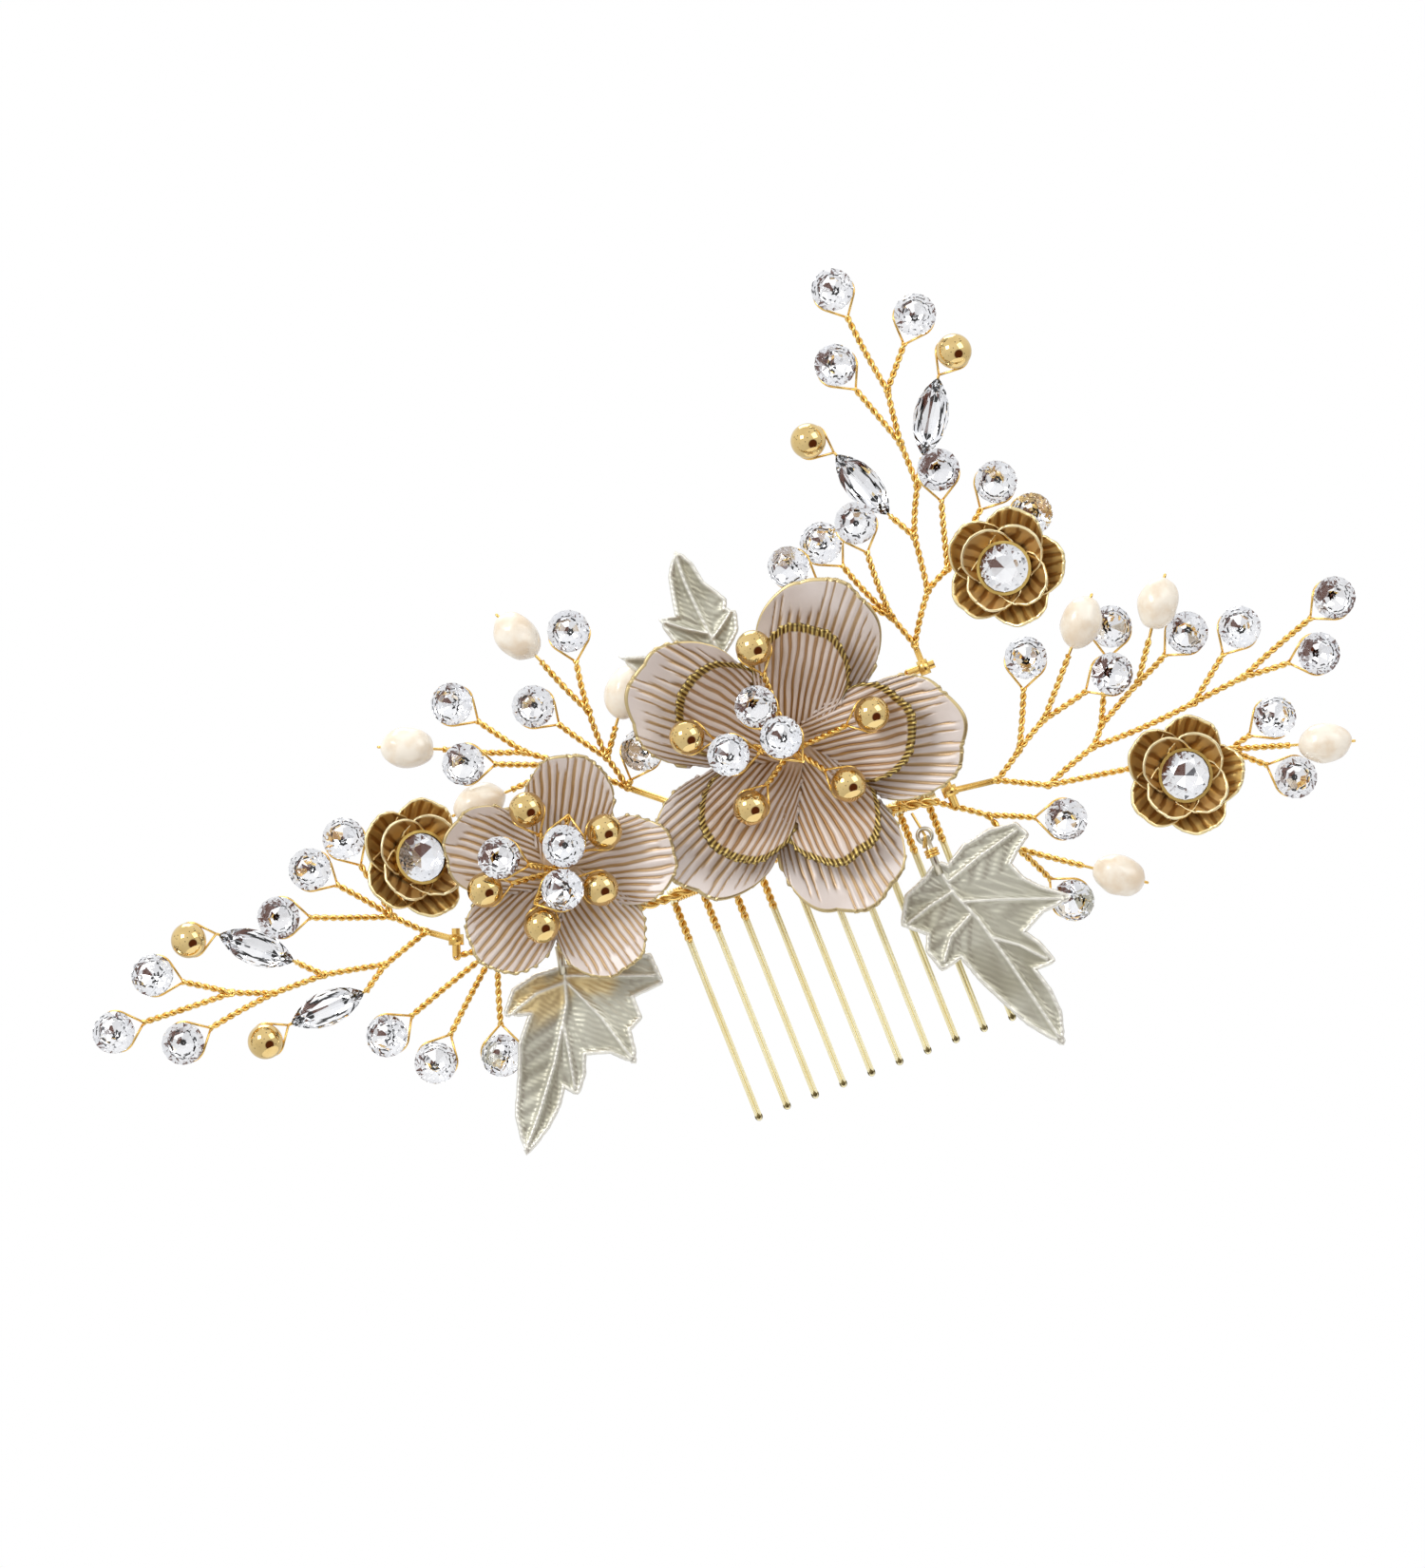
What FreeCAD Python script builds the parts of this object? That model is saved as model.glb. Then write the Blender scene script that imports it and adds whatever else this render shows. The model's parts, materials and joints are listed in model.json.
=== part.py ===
# Decorative hair comb.  A ten-tooth wire comb carries two five-petal flowers, three roses,
# three cast leaves and sprays of crystals, pearls, gold beads and marquise stones on
# twisted wire.  Four of the sprays can be bent back, each about an eye on its own post.
#
# Frame: millimetres, +X along the spine bar, +Z up (the teeth point to -Z), and the
# decorated front faces -Y.  The origin is the middle of the spine bar.

import FreeCAD, Part
import math
import os

Vector = FreeCAD.Vector
Rotation = FreeCAD.Rotation
Placement = FreeCAD.Placement

doc = FreeCAD.newDocument("hair_comb")
sheet = doc.addObject("Spreadsheet::Sheet", "Sizes")

# ---------------------------------------------------------------- driving dimensions
SIZES = (
    ("tooth_count", 10, "teeth on the comb"),
    ("tooth_pitch", 4.25, "spacing of the teeth along the bar"),
    ("tooth_length", 33.8, "bar axis to the tip of a tooth"),
    ("tooth_wire", 0.5, "diameter of the hairpin wire of a tooth"),
    ("tooth_strand_gap", 0.08, "gap between the two legs of a tooth"),
    ("tooth_twist_length", 6.0, "length of the twisted top of a tooth"),
    ("bar_diameter", 1.2, "spine bar"),
    ("bar_overhang", 1.4, "bar beyond the end teeth"),
    ("fit_gap", 0.03, "radial gap of what is threaded on the bar or a post"),
    ("binding_wire", 0.4, "wire wound round the bar between the teeth"),
    ("trunk_diameter", 1.4, "bundle of stems bound to the bar"),
    ("stem_diameter", 0.9, "twisted pair of stem wires"),
    ("loop_wire", 0.4, "single wire through a stone or a bead"),
    ("loop_reach", 1.4, "rim of a stone to the point where its loop closes"),
    ("hole_gap", 0.07, "radial gap of a wire in a drilled hole"),
    ("knot_diameter", 1.5, "knot where stems part"),
    ("post_diameter", 1.2, "post a spray bends about"),
    ("post_length", 3.2, "length of that post"),
    ("eye_width", 1.5, "eye at the foot of a spray, along its post"),
    ("eye_wall", 0.45, "wall of that eye"),
    ("crystal_diameter", 6.0, "round crystal"),
    ("crystal_crown", 1.2, "girdle to table"),
    ("crystal_girdle", 0.9, "thickness of the girdle"),
    ("crystal_pavilion", 1.8, "girdle to culet"),
    ("bead_diameter", 5.0, "gold bead"),
    ("pearl_length", 7.5, "rice pearl, end to end"),
    ("pearl_diameter", 5.7, "rice pearl, across"),
    ("marquise_length", 11.2, "marquise stone, tip to tip"),
    ("marquise_width", 5.0, "marquise stone, across"),
    ("marquise_depth", 2.6, "marquise stone, front to back"),
    ("petal_sheet", 0.5, "sheet that petals are stamped from"),
    ("hub_diameter", 5.0, "disc in the middle of a stamping"),
    ("pin_diameter", 2.0, "pin through the middle of a flower"),
    ("pin_gap", 0.05, "radial gap of that pin in a stamping"),
    ("flower_gap", 0.7, "outer stamping to inner stamping"),
    ("large_reach", 24.5, "large flower, centre to petal edge"),
    ("large_width", 17.5, "width of its outer petals"),
    ("large_dish", 5.0, "forward curl of its outer petals"),
    ("large_inner_reach", 17.5, "centre to edge of its inner petals"),
    ("large_inner_width", 13.5, "width of its inner petals"),
    ("large_inner_dish", 6.0, "forward curl of its inner petals"),
    ("large_stand", 1.0, "trunk to the back of the large flower"),
    ("small_reach", 16.5, "small flower, centre to petal edge"),
    ("small_width", 12.5, "width of its petals"),
    ("small_dish", 4.0, "forward curl of its petals"),
    ("small_stand", 3.4, "trunk to the back of the small flower"),
    ("rose_reach", 8.4, "rose, centre to outer petal edge"),
    ("rose_width", 8.0, "width of its outer petals"),
    ("rose_dish", 2.2, "forward curl of its outer petals"),
    ("rose_inner_reach", 6.0, "centre to edge of its inner petals"),
    ("rose_inner_width", 6.2, "width of its inner petals"),
    ("rose_inner_dish", 2.6, "forward curl of its inner petals"),
    ("rose_gap", 0.45, "outer layer to inner layer"),
    ("rose_stand", 0.5, "stem to the back of a rose"),
    ("rose_stud", 1.6, "inner layer to the floor of the cup"),
    ("cup_wall", 0.4, "wall and floor of a rose's cup"),
    ("cup_depth", 1.3, "height of the cup's wall"),
    ("rose_stone", 6.8, "flat-backed stone of a rose"),
    ("rose_stone_crown", 1.3, "its girdle to its table"),
    ("rose_stone_base", 1.2, "its flat back to its girdle"),
    ("leaf_sheet", 0.8, "thickness of a cast leaf"),
    ("leaf_neck", 1.2, "neck of a leaf"),
    ("leaf_ring", 2.6, "ring on the neck of the front leaf, across its wire"),
    ("leaf_ring_wire", 0.6, "wire of that ring"),
)


def fill_sheet():
    for row, (alias, number, meaning) in enumerate(SIZES, start=1):
        sheet.set("A%d" % row, alias)
        sheet.set("B%d" % row, str(number))
        sheet.set("C%d" % row, meaning)
        sheet.setAlias("B%d" % row, alias)
    doc.recompute()


fill_sheet()


def size(alias):
    """A driving dimension as a plain number."""
    return float(sheet.get(alias))


def spell(formula):
    """A formula on aliases, as an expression on the sheet."""
    for alias in sorted((row[0] for row in SIZES), key=len, reverse=True):
        formula = formula.replace("<%s>" % alias, "Sizes.%s" % alias)
    return formula


# ---------------------------------------------------------------- small helpers
FRONT = Rotation(Vector(1, 0, 0), 90)     # a piece's own +Z turns to face -Y, its +Y goes up
LIFT = Vector(0, 0, 1)

COUNT = int(size("tooth_count"))
BAR_HALF = (COUNT - 1) * size("tooth_pitch") / 2 + size("bar_overhang")
EYE_OUTER = size("bar_diameter") / 2 + size("fit_gap") + size("tooth_wire")
STEM_PLANE = -(EYE_OUTER + size("trunk_diameter") / 2 + size("fit_gap"))
KNOT = size("knot_diameter") / 2


def place(x, depth, z):
    """A point given across, by its depth in front of the stem plane, and up."""
    return Vector(x, STEM_PLANE - depth, z)


def solid(kind, label, placement=None, **formulas):
    """A Part primitive with its sizes bound to the sheet."""
    item = doc.addObject("Part::" + kind, label)
    for name, formula in formulas.items():
        item.setExpression(name, spell(formula))
    if placement is not None:
        item.Placement = placement
    return item


def boolean(kind, label, base, tool):
    item = doc.addObject("Part::" + kind, label)
    item.Base = base
    item.Tool = tool
    return item


def fuse(label, members):
    item = doc.addObject("Part::MultiFuse", label)
    item.Shapes = members
    return item


def copy_of(master, placement):
    item = doc.addObject("App::Link", master.Label + "_copy")
    item.LinkedObject = master
    item.Placement = placement
    return item


NODES = []


def node(item, label):
    """Marks an object as a sub-part that gets a file of its own."""
    item.Label = label
    NODES.append(item)
    return item


def node_group(label, members):
    item = doc.addObject("Part::Compound", label)
    item.Links = members
    return node(item, label)


def rod(label, start, end, diameter):
    """A straight round wire between two points."""
    run = end - start
    item = solid("Cylinder", label, Placement(start, Rotation(LIFT, run)), Radius="<%s> / 2" % diameter)
    item.Height = run.Length
    return item


def stem(label, start, end, start_gap, end_gap, diameter="stem_diameter"):
    """A wire that stops short of both points by the gaps given."""
    way = (end - start).normalize()
    return rod(label, start + way * start_gap, end - way * end_gap, diameter)


def knot(label, point):
    return solid("Sphere", label, Placement(point, Rotation()), Radius="<knot_diameter> / 2")


def bent_wire(label, points, diameter, closed=False):
    """One wire along straight runs, with a small round bend at each corner."""
    radius = size(diameter) / 2
    bend = radius * BEND_RADIUS
    if closed:
        middle = (points[-1] + points[0]) * 0.5
        points = [middle] + list(points) + [middle]
    edges = []
    last = points[0]
    for before, corner, after in zip(points, points[1:], points[2:]):
        back = (before - corner).normalize()
        ahead = (after - corner).normalize()
        half = back.getAngle(ahead) / 2
        start = corner + back * (bend / math.tan(half))
        end = corner + ahead * (bend / math.tan(half))
        top = corner + (back + ahead).normalize() * (bend / math.sin(half) - bend)
        edges += [Part.makeLine(last, start), Part.Arc(start, top, end).toShape()]
        last = end
    edges.append(Part.makeLine(last, points[-1]))
    section = Part.Wire([Part.makeCircle(radius, points[0], points[1] - points[0])])
    item = doc.addObject("Part::Feature", label)
    item.Shape = Part.Wire(edges).makePipeShell([section], True, False)
    return item


# ---------------------------------------------------------------- stones and beads
# Each is made once, facing +Z, with the point where its wire loop closes on its own +X.
CHORD = 0.72                              # where the drilled hole crosses, as a share of the radius
LOOP_CORNER = 0.6                         # how far a loop's corner stands out of the hole
APEX_GAP = 0.3                            # stem end to the apex of a loop, in loop wires
SKEW_APEX_GAP = 1.6                       # the same where the stem comes in from under the stone
BEND_RADIUS = 1.1                         # bend of a loop along its middle, in wire radii
CORE_OUT = 0.35                           # how far a marquise's wire stands out of its tips
PEARL_STAND = 0.5                         # a pearl to the middle of the wire along its side
PEARL_BENDS = (180, 143, 108, 72, 37)     # corners of that wire, in degrees round the pearl
PEARL_ROLL = -90                          # turns that wire to the back of the pearl
TABLE = 0.58                              # flat top of a stone, as a share of its radius
CULET = 0.12                              # its blunt point, as a share of its radius
CROWDED = math.radians(95)                # stems closer than this are trimmed at their fork


def profile_turned(label, outline):
    """A solid of revolution about Z, from (radius, height) points."""
    body = doc.addObject("PartDesign::Body", label + "_body")
    sketch = body.newObject("Sketcher::SketchObject", label + "_outline")
    plane = [item for item in body.Origin.OriginFeatures if item.Role == "XZ_Plane"][0]
    sketch.AttachmentSupport = [(plane, "")]
    sketch.MapMode = "FlatFace"
    corners = [Vector(radius, height, 0) for radius, height in outline]
    for start, end in zip(corners, corners[1:] + corners[:1]):
        sketch.addGeometry(Part.LineSegment(start, end), False)
    turned = body.newObject("PartDesign::Revolution", label + "_turned")
    turned.Profile = sketch
    turned.ReferenceAxis = (sketch, ["V_Axis"])
    turned.Angle = 360
    return body


def crystal_outline(diameter, crown, girdle, pavilion):
    radius = diameter / 2
    return (
        (0, girdle / 2 + crown),
        (radius * TABLE, girdle / 2 + crown),
        (radius, girdle / 2),
        (radius, -girdle / 2),
        (radius * CULET, -girdle / 2 - pavilion),
        (0, -girdle / 2 - pavilion),
    )


def cross_hole(label, diameter):
    """The hole a loop's straight side runs in, across the stone near its rim."""
    length = size(diameter) * 1.2
    start = Vector(size(diameter) / 2 * CHORD, -length / 2, 0)
    turn = Rotation(LIFT, Vector(0, 1, 0))
    hole = solid("Cylinder", label, Placement(start, turn), Radius="<loop_wire> / 2 + <hole_gap>")
    hole.Height = length
    return hole


def wire_loop(label, diameter):
    """A three-cornered loop: through the cross hole and closed at the reach point."""
    radius = size(diameter) / 2
    mouth = radius * math.sqrt(1 - CHORD ** 2) + LOOP_CORNER
    apex = Vector(radius + size("loop_reach"), 0, 0)
    corners = [apex, Vector(radius * CHORD, mouth, 0), Vector(radius * CHORD, -mouth, 0)]
    return bent_wire(label, corners, "loop_wire", closed=True)


def long_hole(label, length):
    """A hole from tip to tip, along X."""
    start = Vector(-size(length) * 0.6, 0, 0)
    turn = Rotation(LIFT, Vector(1, 0, 0))
    hole = solid("Cylinder", label, Placement(start, turn), Radius="<loop_wire> / 2 + <hole_gap>")
    hole.Height = size(length) * 1.2
    return hole


def drilled_pearl():
    """A rice pearl with a hole from end to end, turned about its own length."""
    bore = size("loop_wire") / 2 + size("hole_gap")
    side = size("pearl_diameter") / 2
    mouth = math.asin(bore / side)
    oval = Part.Ellipse(Vector(), size("pearl_length") / 2, side)
    arc = Part.ArcOfEllipse(oval, mouth, math.pi - mouth).toShape()
    wall = Part.makeLine(arc.Vertexes[-1].Point, arc.Vertexes[0].Point)
    item = doc.addObject("Part::Feature", "pearl_master")
    item.Shape = Part.Face(Part.Wire([arc, wall])).revolve(Vector(), Vector(1, 0, 0), 360)
    return item


def pearl_loop():
    """Through the pearl from end to end and back along its side."""
    half = size("pearl_length") / 2
    side = size("pearl_diameter") / 2
    points = [Vector(half + size("loop_reach"), 0, 0)]
    for angle in PEARL_BENDS:
        turn = math.radians(angle)
        points.append(Vector((half + PEARL_STAND) * math.cos(turn), (side + PEARL_STAND) * math.sin(turn), 0))
    return bent_wire("pearl_loop", points, "loop_wire", closed=True)


def marquise_blank():
    """A pointed oval of two equal arcs, extruded."""
    half = size("marquise_length") / 2
    side = size("marquise_width") / 2
    depth = size("marquise_depth")
    ends = [Vector(-half, 0, -depth / 2), Vector(half, 0, -depth / 2)]
    upper = Part.Arc(ends[0], Vector(0, side, -depth / 2), ends[1]).toShape()
    lower = Part.Arc(ends[1], Vector(0, -side, -depth / 2), ends[0]).toShape()
    item = doc.addObject("Part::Feature", "marquise_blank")
    item.Shape = Part.Face(Part.Wire([upper, lower])).extrude(Vector(0, 0, depth))
    return item


crystal = boolean(
    "Cut", "crystal_master",
    profile_turned("crystal", crystal_outline(size("crystal_diameter"), size("crystal_crown"),
                                              size("crystal_girdle"), size("crystal_pavilion"))),
    cross_hole("crystal_hole", "crystal_diameter"))
crystal_loop = wire_loop("crystal_loop", "crystal_diameter")

bead = boolean(
    "Cut", "bead_master",
    solid("Sphere", "bead_ball", Radius="<bead_diameter> / 2"),
    cross_hole("bead_hole", "bead_diameter"))
bead_loop = wire_loop("bead_loop", "bead_diameter")

pearl = drilled_pearl()
pearl_wire = pearl_loop()

marquise = boolean("Cut", "marquise_master", marquise_blank(), long_hole("marquise_hole", "marquise_length"))

KINDS = {
    "crystal": (crystal, crystal_loop, size("crystal_diameter") / 2),
    "bead": (bead, bead_loop, size("bead_diameter") / 2),
    "pearl": (pearl, pearl_wire, size("pearl_length") / 2),
}


# ---------------------------------------------------------------- petals and roses
TAPER_FOOT = 0.35                         # half width of a petal at the hub, in hub diameters
TAPER_HEAD = 0.49                         # half width where its round end begins, in petal widths
PIN_OUT = 0.6                             # how far a flower's pin stands out of its front layer


def stamping(label, directions, reach, width, dish):
    """Petals on a hub, cut from a dished sheet; the back of the hub is at the origin."""
    blank_height = size(dish) + size("petal_sheet") + 1
    blanks = [solid("Cylinder", label + "_hub", Radius="<hub_diameter> / 2")]
    for angle in directions:
        turn = Rotation(LIFT, angle)
        tip = turn.multVec(Vector(size(reach) - size(width) / 2, 0, 0))
        blanks.append(solid("Cylinder", label + "_tip", Placement(tip, turn), Radius="<%s> / 2" % width))
        taper = solid("Wedge", label + "_taper", Placement(Vector(), Rotation(LIFT, angle - 90)),
                      Xmin="-<hub_diameter> * %g" % TAPER_FOOT, Xmax="<hub_diameter> * %g" % TAPER_FOOT,
                      X2min="-<%s> * %g" % (width, TAPER_HEAD), X2max="<%s> * %g" % (width, TAPER_HEAD),
                      Ymax="<%s> - <%s> / 2" % (reach, width))
        taper.Ymin = 0
        taper.Zmin = 0
        taper.Z2min = 0
        taper.Zmax = blank_height
        taper.Z2max = blank_height
        blanks.append(taper)
    for item in blanks:
        if item.TypeId == "Part::Cylinder":
            item.Height = blank_height
    curve = "(<%s>^2 + <%s>^2) / (2 * <%s>)" % (reach, dish, dish)
    centre = (size(reach) ** 2 + size(dish) ** 2) / (2 * size(dish))
    seat = Placement(Vector(0, 0, centre), Rotation())
    shell = boolean("Cut", label + "_shell",
                    solid("Sphere", label + "_back", seat, Radius=curve),
                    solid("Sphere", label + "_face", seat, Radius=curve + " - <petal_sheet>"))
    petals = boolean("Common", label + "_sheet", shell, fuse(label + "_blank", blanks))
    bore = solid("Cylinder", label + "_bore", Radius="<pin_diameter> / 2 + <pin_gap>")
    bore.Height = blank_height
    return boolean("Cut", label + "_bored", petals, bore)


def even_directions(count, first):
    return [first + 360 / count * index for index in range(count)]


def facing_front(centre, tilt=0):
    """Turns a piece to face the front, tilted sideways about the vertical."""
    return Placement(centre, Rotation(LIFT, tilt).multiply(FRONT))


def rose(name, back, tilt):
    """Two petal layers, a cup on a stud and a flat-backed stone, facing the front."""
    seat = facing_front(back, tilt)
    outer = stamping(name + "_rose_outer", even_directions(5, 20), "rose_reach", "rose_width", "rose_dish")
    inner = stamping(name + "_rose_inner", even_directions(4, 35), "rose_inner_reach",
                     "rose_inner_width", "rose_inner_dish")
    inner_back = size("petal_sheet") + size("rose_gap")
    floor = inner_back + size("rose_stud")
    wall = size("cup_wall")
    cup_radius = size("rose_stone") / 2 + size("fit_gap") + wall
    cup = Part.makeCylinder(cup_radius, wall + size("cup_depth"), Vector(0, 0, floor))
    hollow = Part.makeCylinder(cup_radius - wall, size("cup_depth") + 1, Vector(0, 0, floor + wall))
    stud = Part.makeCylinder(size("pin_diameter") / 2, floor + size("rose_stand") + wall / 2,
                             Vector(0, 0, -size("rose_stand")))
    cup_piece = doc.addObject("Part::Feature", name + "_rose_cup")
    cup_piece.Shape = cup.cut(hollow).fuse(stud)
    radius = size("rose_stone") / 2
    stone = profile_turned(name + "_rose_stone", (
        (0, 0), (radius, 0), (radius, size("rose_stone_base")),
        (radius * 0.6, size("rose_stone_base") + size("rose_stone_crown")),
        (0, size("rose_stone_base") + size("rose_stone_crown"))))
    heights = ((outer, 0), (inner, inner_back), (cup_piece, 0), (stone, floor + wall))
    for item, height in heights:
        item.Placement = seat.multiply(Placement(Vector(0, 0, height), Rotation()))
    node(outer, name + "_rose_outer_petals")
    node(inner, name + "_rose_inner_petals")
    node(cup_piece, name + "_rose_setting")
    node(stone, name + "_rose_crystal")


# ---------------------------------------------------------------- comb
def tooth(index):
    """A hairpin of wire: an eye on the bar, a twisted top, two legs and a folded tip."""
    label = "tooth_%02d" % index
    wire = size("tooth_wire")
    spread = wire / 2 + size("tooth_strand_gap") / 2
    twist_end = -size("tooth_twist_length")
    leg_end = -size("tooth_length") + wire / 2 + spread
    inner = size("bar_diameter") / 2 + size("fit_gap")
    eye = Part.makeCylinder(EYE_OUTER, 2 * wire, Vector(-wire, 0, 0), Vector(1, 0, 0))
    bore = Part.makeCylinder(inner, 4 * wire, Vector(-2 * wire, 0, 0), Vector(1, 0, 0))
    neck_top = -(inner + EYE_OUTER) / 2
    neck = Part.makeCylinder(wire + size("tooth_strand_gap"), neck_top - twist_end, Vector(0, 0, twist_end))
    legs = [Part.makeCylinder(wire / 2, twist_end + wire - leg_end, Vector(across, 0, leg_end))
            for across in (-spread, spread)]
    ring = Part.makeTorus(spread, wire / 2, Vector(0, 0, leg_end), Vector(0, 1, 0))
    side = 4 * spread
    below = Part.makeBox(side, side, side, Vector(-side / 2, -side / 2, leg_end - side))
    fold = ring.common(below)
    item = doc.addObject("Part::Feature", label)
    item.Shape = neck.multiFuse([eye, fold] + legs).cut(bore)
    item.Placement = Placement(Vector(tooth_place(index), 0, 0), Rotation())
    return node(item, label)


def tooth_place(index):
    return (index - (COUNT + 1) / 2) * size("tooth_pitch")


def comb():
    bar = solid("Cylinder", "spine_bar", Placement(Vector(-BAR_HALF, 0, 0), Rotation(LIFT, Vector(1, 0, 0))),
                Radius="<bar_diameter> / 2",
                Height="(<tooth_count> - 1) * <tooth_pitch> + 2 * <bar_overhang>")
    node(bar, "spine_bar")
    for index in range(1, COUNT + 1):
        tooth(index)
    turns = []
    wrap_length = size("tooth_pitch") - 2 * size("tooth_wire") - 2 * size("fit_gap")
    turn_count = int(wrap_length / size("binding_wire"))
    for gap in range(1, COUNT):
        middle = (tooth_place(gap) + tooth_place(gap + 1)) / 2
        for step in range(turn_count):
            across = middle + (step - (turn_count - 1) / 2) * size("binding_wire")
            turns.append(solid("Torus", "binding_turn",
                               Placement(Vector(across, 0, 0), Rotation(LIFT, Vector(1, 0, 0))),
                               Radius1="<bar_diameter> / 2 + <fit_gap> + <binding_wire> / 2",
                               Radius2="<binding_wire> / 2"))
    node_group("spine_binding", turns)


# ---------------------------------------------------------------- stems, twigs and sprays
def flat_turn(way):
    """Turns a stone to face the front with its loop pointing along a flat direction."""
    return FRONT.multiply(Rotation(LIFT, math.degrees(math.atan2(way.z, way.x))))


def flat_way(angle):
    """A direction in the plane of the comb, from its angle above +X."""
    turn = math.radians(angle)
    return Vector(math.cos(turn), 0, math.sin(turn))


def sideways(start, end):
    """The direction from one point to another, as seen from the front."""
    way = Vector(end.x - start.x, 0, end.z - start.z)
    return way.normalize()


class Branchwork:
    """Gathers the wires, stones and beads of one spray."""

    def __init__(self, name, origin):
        self.name = name
        self.origin = origin
        self.forks = {}
        self.leaving = {}
        self.wires = []
        self.stones = {"crystal": [], "bead": [], "pearl": [], "marquise": []}

    def point(self, across, up, depth=0.0):
        return Vector(self.origin.x + across, self.origin.y - depth, self.origin.z + up)

    def fork(self, name, across, up, depth=0.0):
        self.forks[name] = self.point(across, up, depth)
        self.leaving[name] = []
        self.wires.append(knot(self.name + "_knot", self.forks[name]))

    def adopt(self, name, other, other_name):
        """Grows from a fork of another piece of work."""
        self.forks[name] = other.forks[other_name]
        self.leaving[name] = other.leaving[other_name]

    def attach(self, item, *ends):
        """Keeps a wire, trimmed where it would run into those already at its forks."""
        for name, way in ends:
            near = [other for other_way, other in self.leaving[name] if way.getAngle(other_way) < CROWDED]
            if near:
                crowd = doc.addObject("Part::Compound", self.name + "_crowd")
                crowd.Links = near
                item = boolean("Cut", self.name + "_trimmed", item, crowd)
        for name, way in ends:
            self.leaving[name].append((way, item))
        self.wires.append(item)

    def run(self, start, end, diameter="stem_diameter"):
        way = self.forks[end] - self.forks[start]
        item = stem(self.name + "_run", self.forks[start], self.forks[end], KNOT, KNOT, diameter)
        self.attach(item, (start, way), (end, way * -1))

    def hang(self, kind, centre, way, roll=0):
        """Puts a stone at its centre with its loop to one side, and gives the loop's apex."""
        master, loop, rim = KINDS[kind]
        seat = Placement(centre, flat_turn(way).multiply(Rotation(Vector(1, 0, 0), roll)))
        self.stones[kind].append(copy_of(master, seat))
        self.wires.append(copy_of(loop, seat))
        return centre + way * (rim + size("loop_reach"))

    def twig(self, fork, kind, across, up, depth=0.0, loop_angle=None):
        """A stem to a stone, whose loop faces the fork unless its angle is given."""
        centre = self.point(across, up, depth)
        side = sideways(centre, self.forks[fork]) if loop_angle is None else flat_way(loop_angle)
        apex = self.hang(kind, centre, side, PEARL_ROLL if kind == "pearl" else 0)
        way = apex - self.forks[fork]
        gap = APEX_GAP if loop_angle is None else SKEW_APEX_GAP
        item = stem(self.name + "_twig", self.forks[fork], apex, KNOT, size("loop_wire") * gap)
        self.attach(item, (fork, way))

    def marquise_twig(self, fork, across, up, angle, bead_angle, depth=0.0):
        """A marquise on a wire through its length, with a gold bead at its far tip."""
        centre = self.point(across, up, depth)
        way = flat_way(angle)
        out = size("marquise_length") / 2 + CORE_OUT
        near = centre - way * out
        far = centre + way * out
        self.stones["marquise"].append(copy_of(marquise, Placement(centre, flat_turn(way))))
        self.wires.append(rod(self.name + "_core", near, far, "loop_wire"))
        item = stem(self.name + "_twig", self.forks[fork], near, KNOT, size("loop_wire") / 2)
        self.attach(item, (fork, near - self.forks[fork]))
        beyond = flat_way(bead_angle)
        reach = size("bead_diameter") / 2 + size("loop_reach") + size("loop_wire") * APEX_GAP
        self.hang("bead", far + beyond * reach, beyond * -1)

    def foot(self, pivot, axis):
        """An eye round the post, with a stem to the first fork."""
        target = self.forks["foot"]
        inner = size("post_diameter") / 2 + size("fit_gap")
        width = size("eye_width")
        eye = Part.makeCylinder(inner + size("eye_wall"), width, pivot - axis * (width / 2), axis)
        way = target - pivot
        shank = Part.makeCylinder(size("stem_diameter") / 2, way.Length - KNOT, pivot, way)
        bore = Part.makeCylinder(inner, width * 2, pivot - axis * width, axis)
        item = doc.addObject("Part::Feature", self.name + "_eye")
        item.Shape = eye.fuse(shank).cut(bore)
        self.attach(item, ("foot", way * -1))

    def finish(self):
        node_group(self.name + "_wires", self.wires)
        plural = {"crystal": "crystals", "bead": "gold_beads", "pearl": "pearls", "marquise": "marquises"}
        for kind, items in self.stones.items():
            if items:
                node_group(self.name + "_" + plural[kind], items)


def post_end(pivot, axis):
    """Where the trunk's knot meets the foot of a post."""
    return pivot - axis * (size("post_length") / 2 + KNOT)


def post(pivot, axis):
    half = axis * (size("post_length") / 2)
    return rod("post", pivot - half, pivot + half, "post_diameter")


# Bend points, measured from the ends or the middle of the bar.
LEFT_PIVOT = place(-BAR_HALF - 29.0, 0, 5.5)
LEFT_AXIS = flat_way(70)
UPPER_PIVOT = place(-14.0, 0, 12.0)
UPPER_AXIS = flat_way(217)
TOP_PIVOT = place(25.5, 0, 17.0)
TOP_AXIS = flat_way(0)
RIGHT_PIVOT = place(BAR_HALF + 2.0, 0, -0.5)
RIGHT_AXIS = flat_way(90)

LARGE_HUB = place(4.0, size("large_stand"), 13.0)
SMALL_HUB = place(-BAR_HALF - 12.0, size("small_stand"), 9.0)


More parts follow.
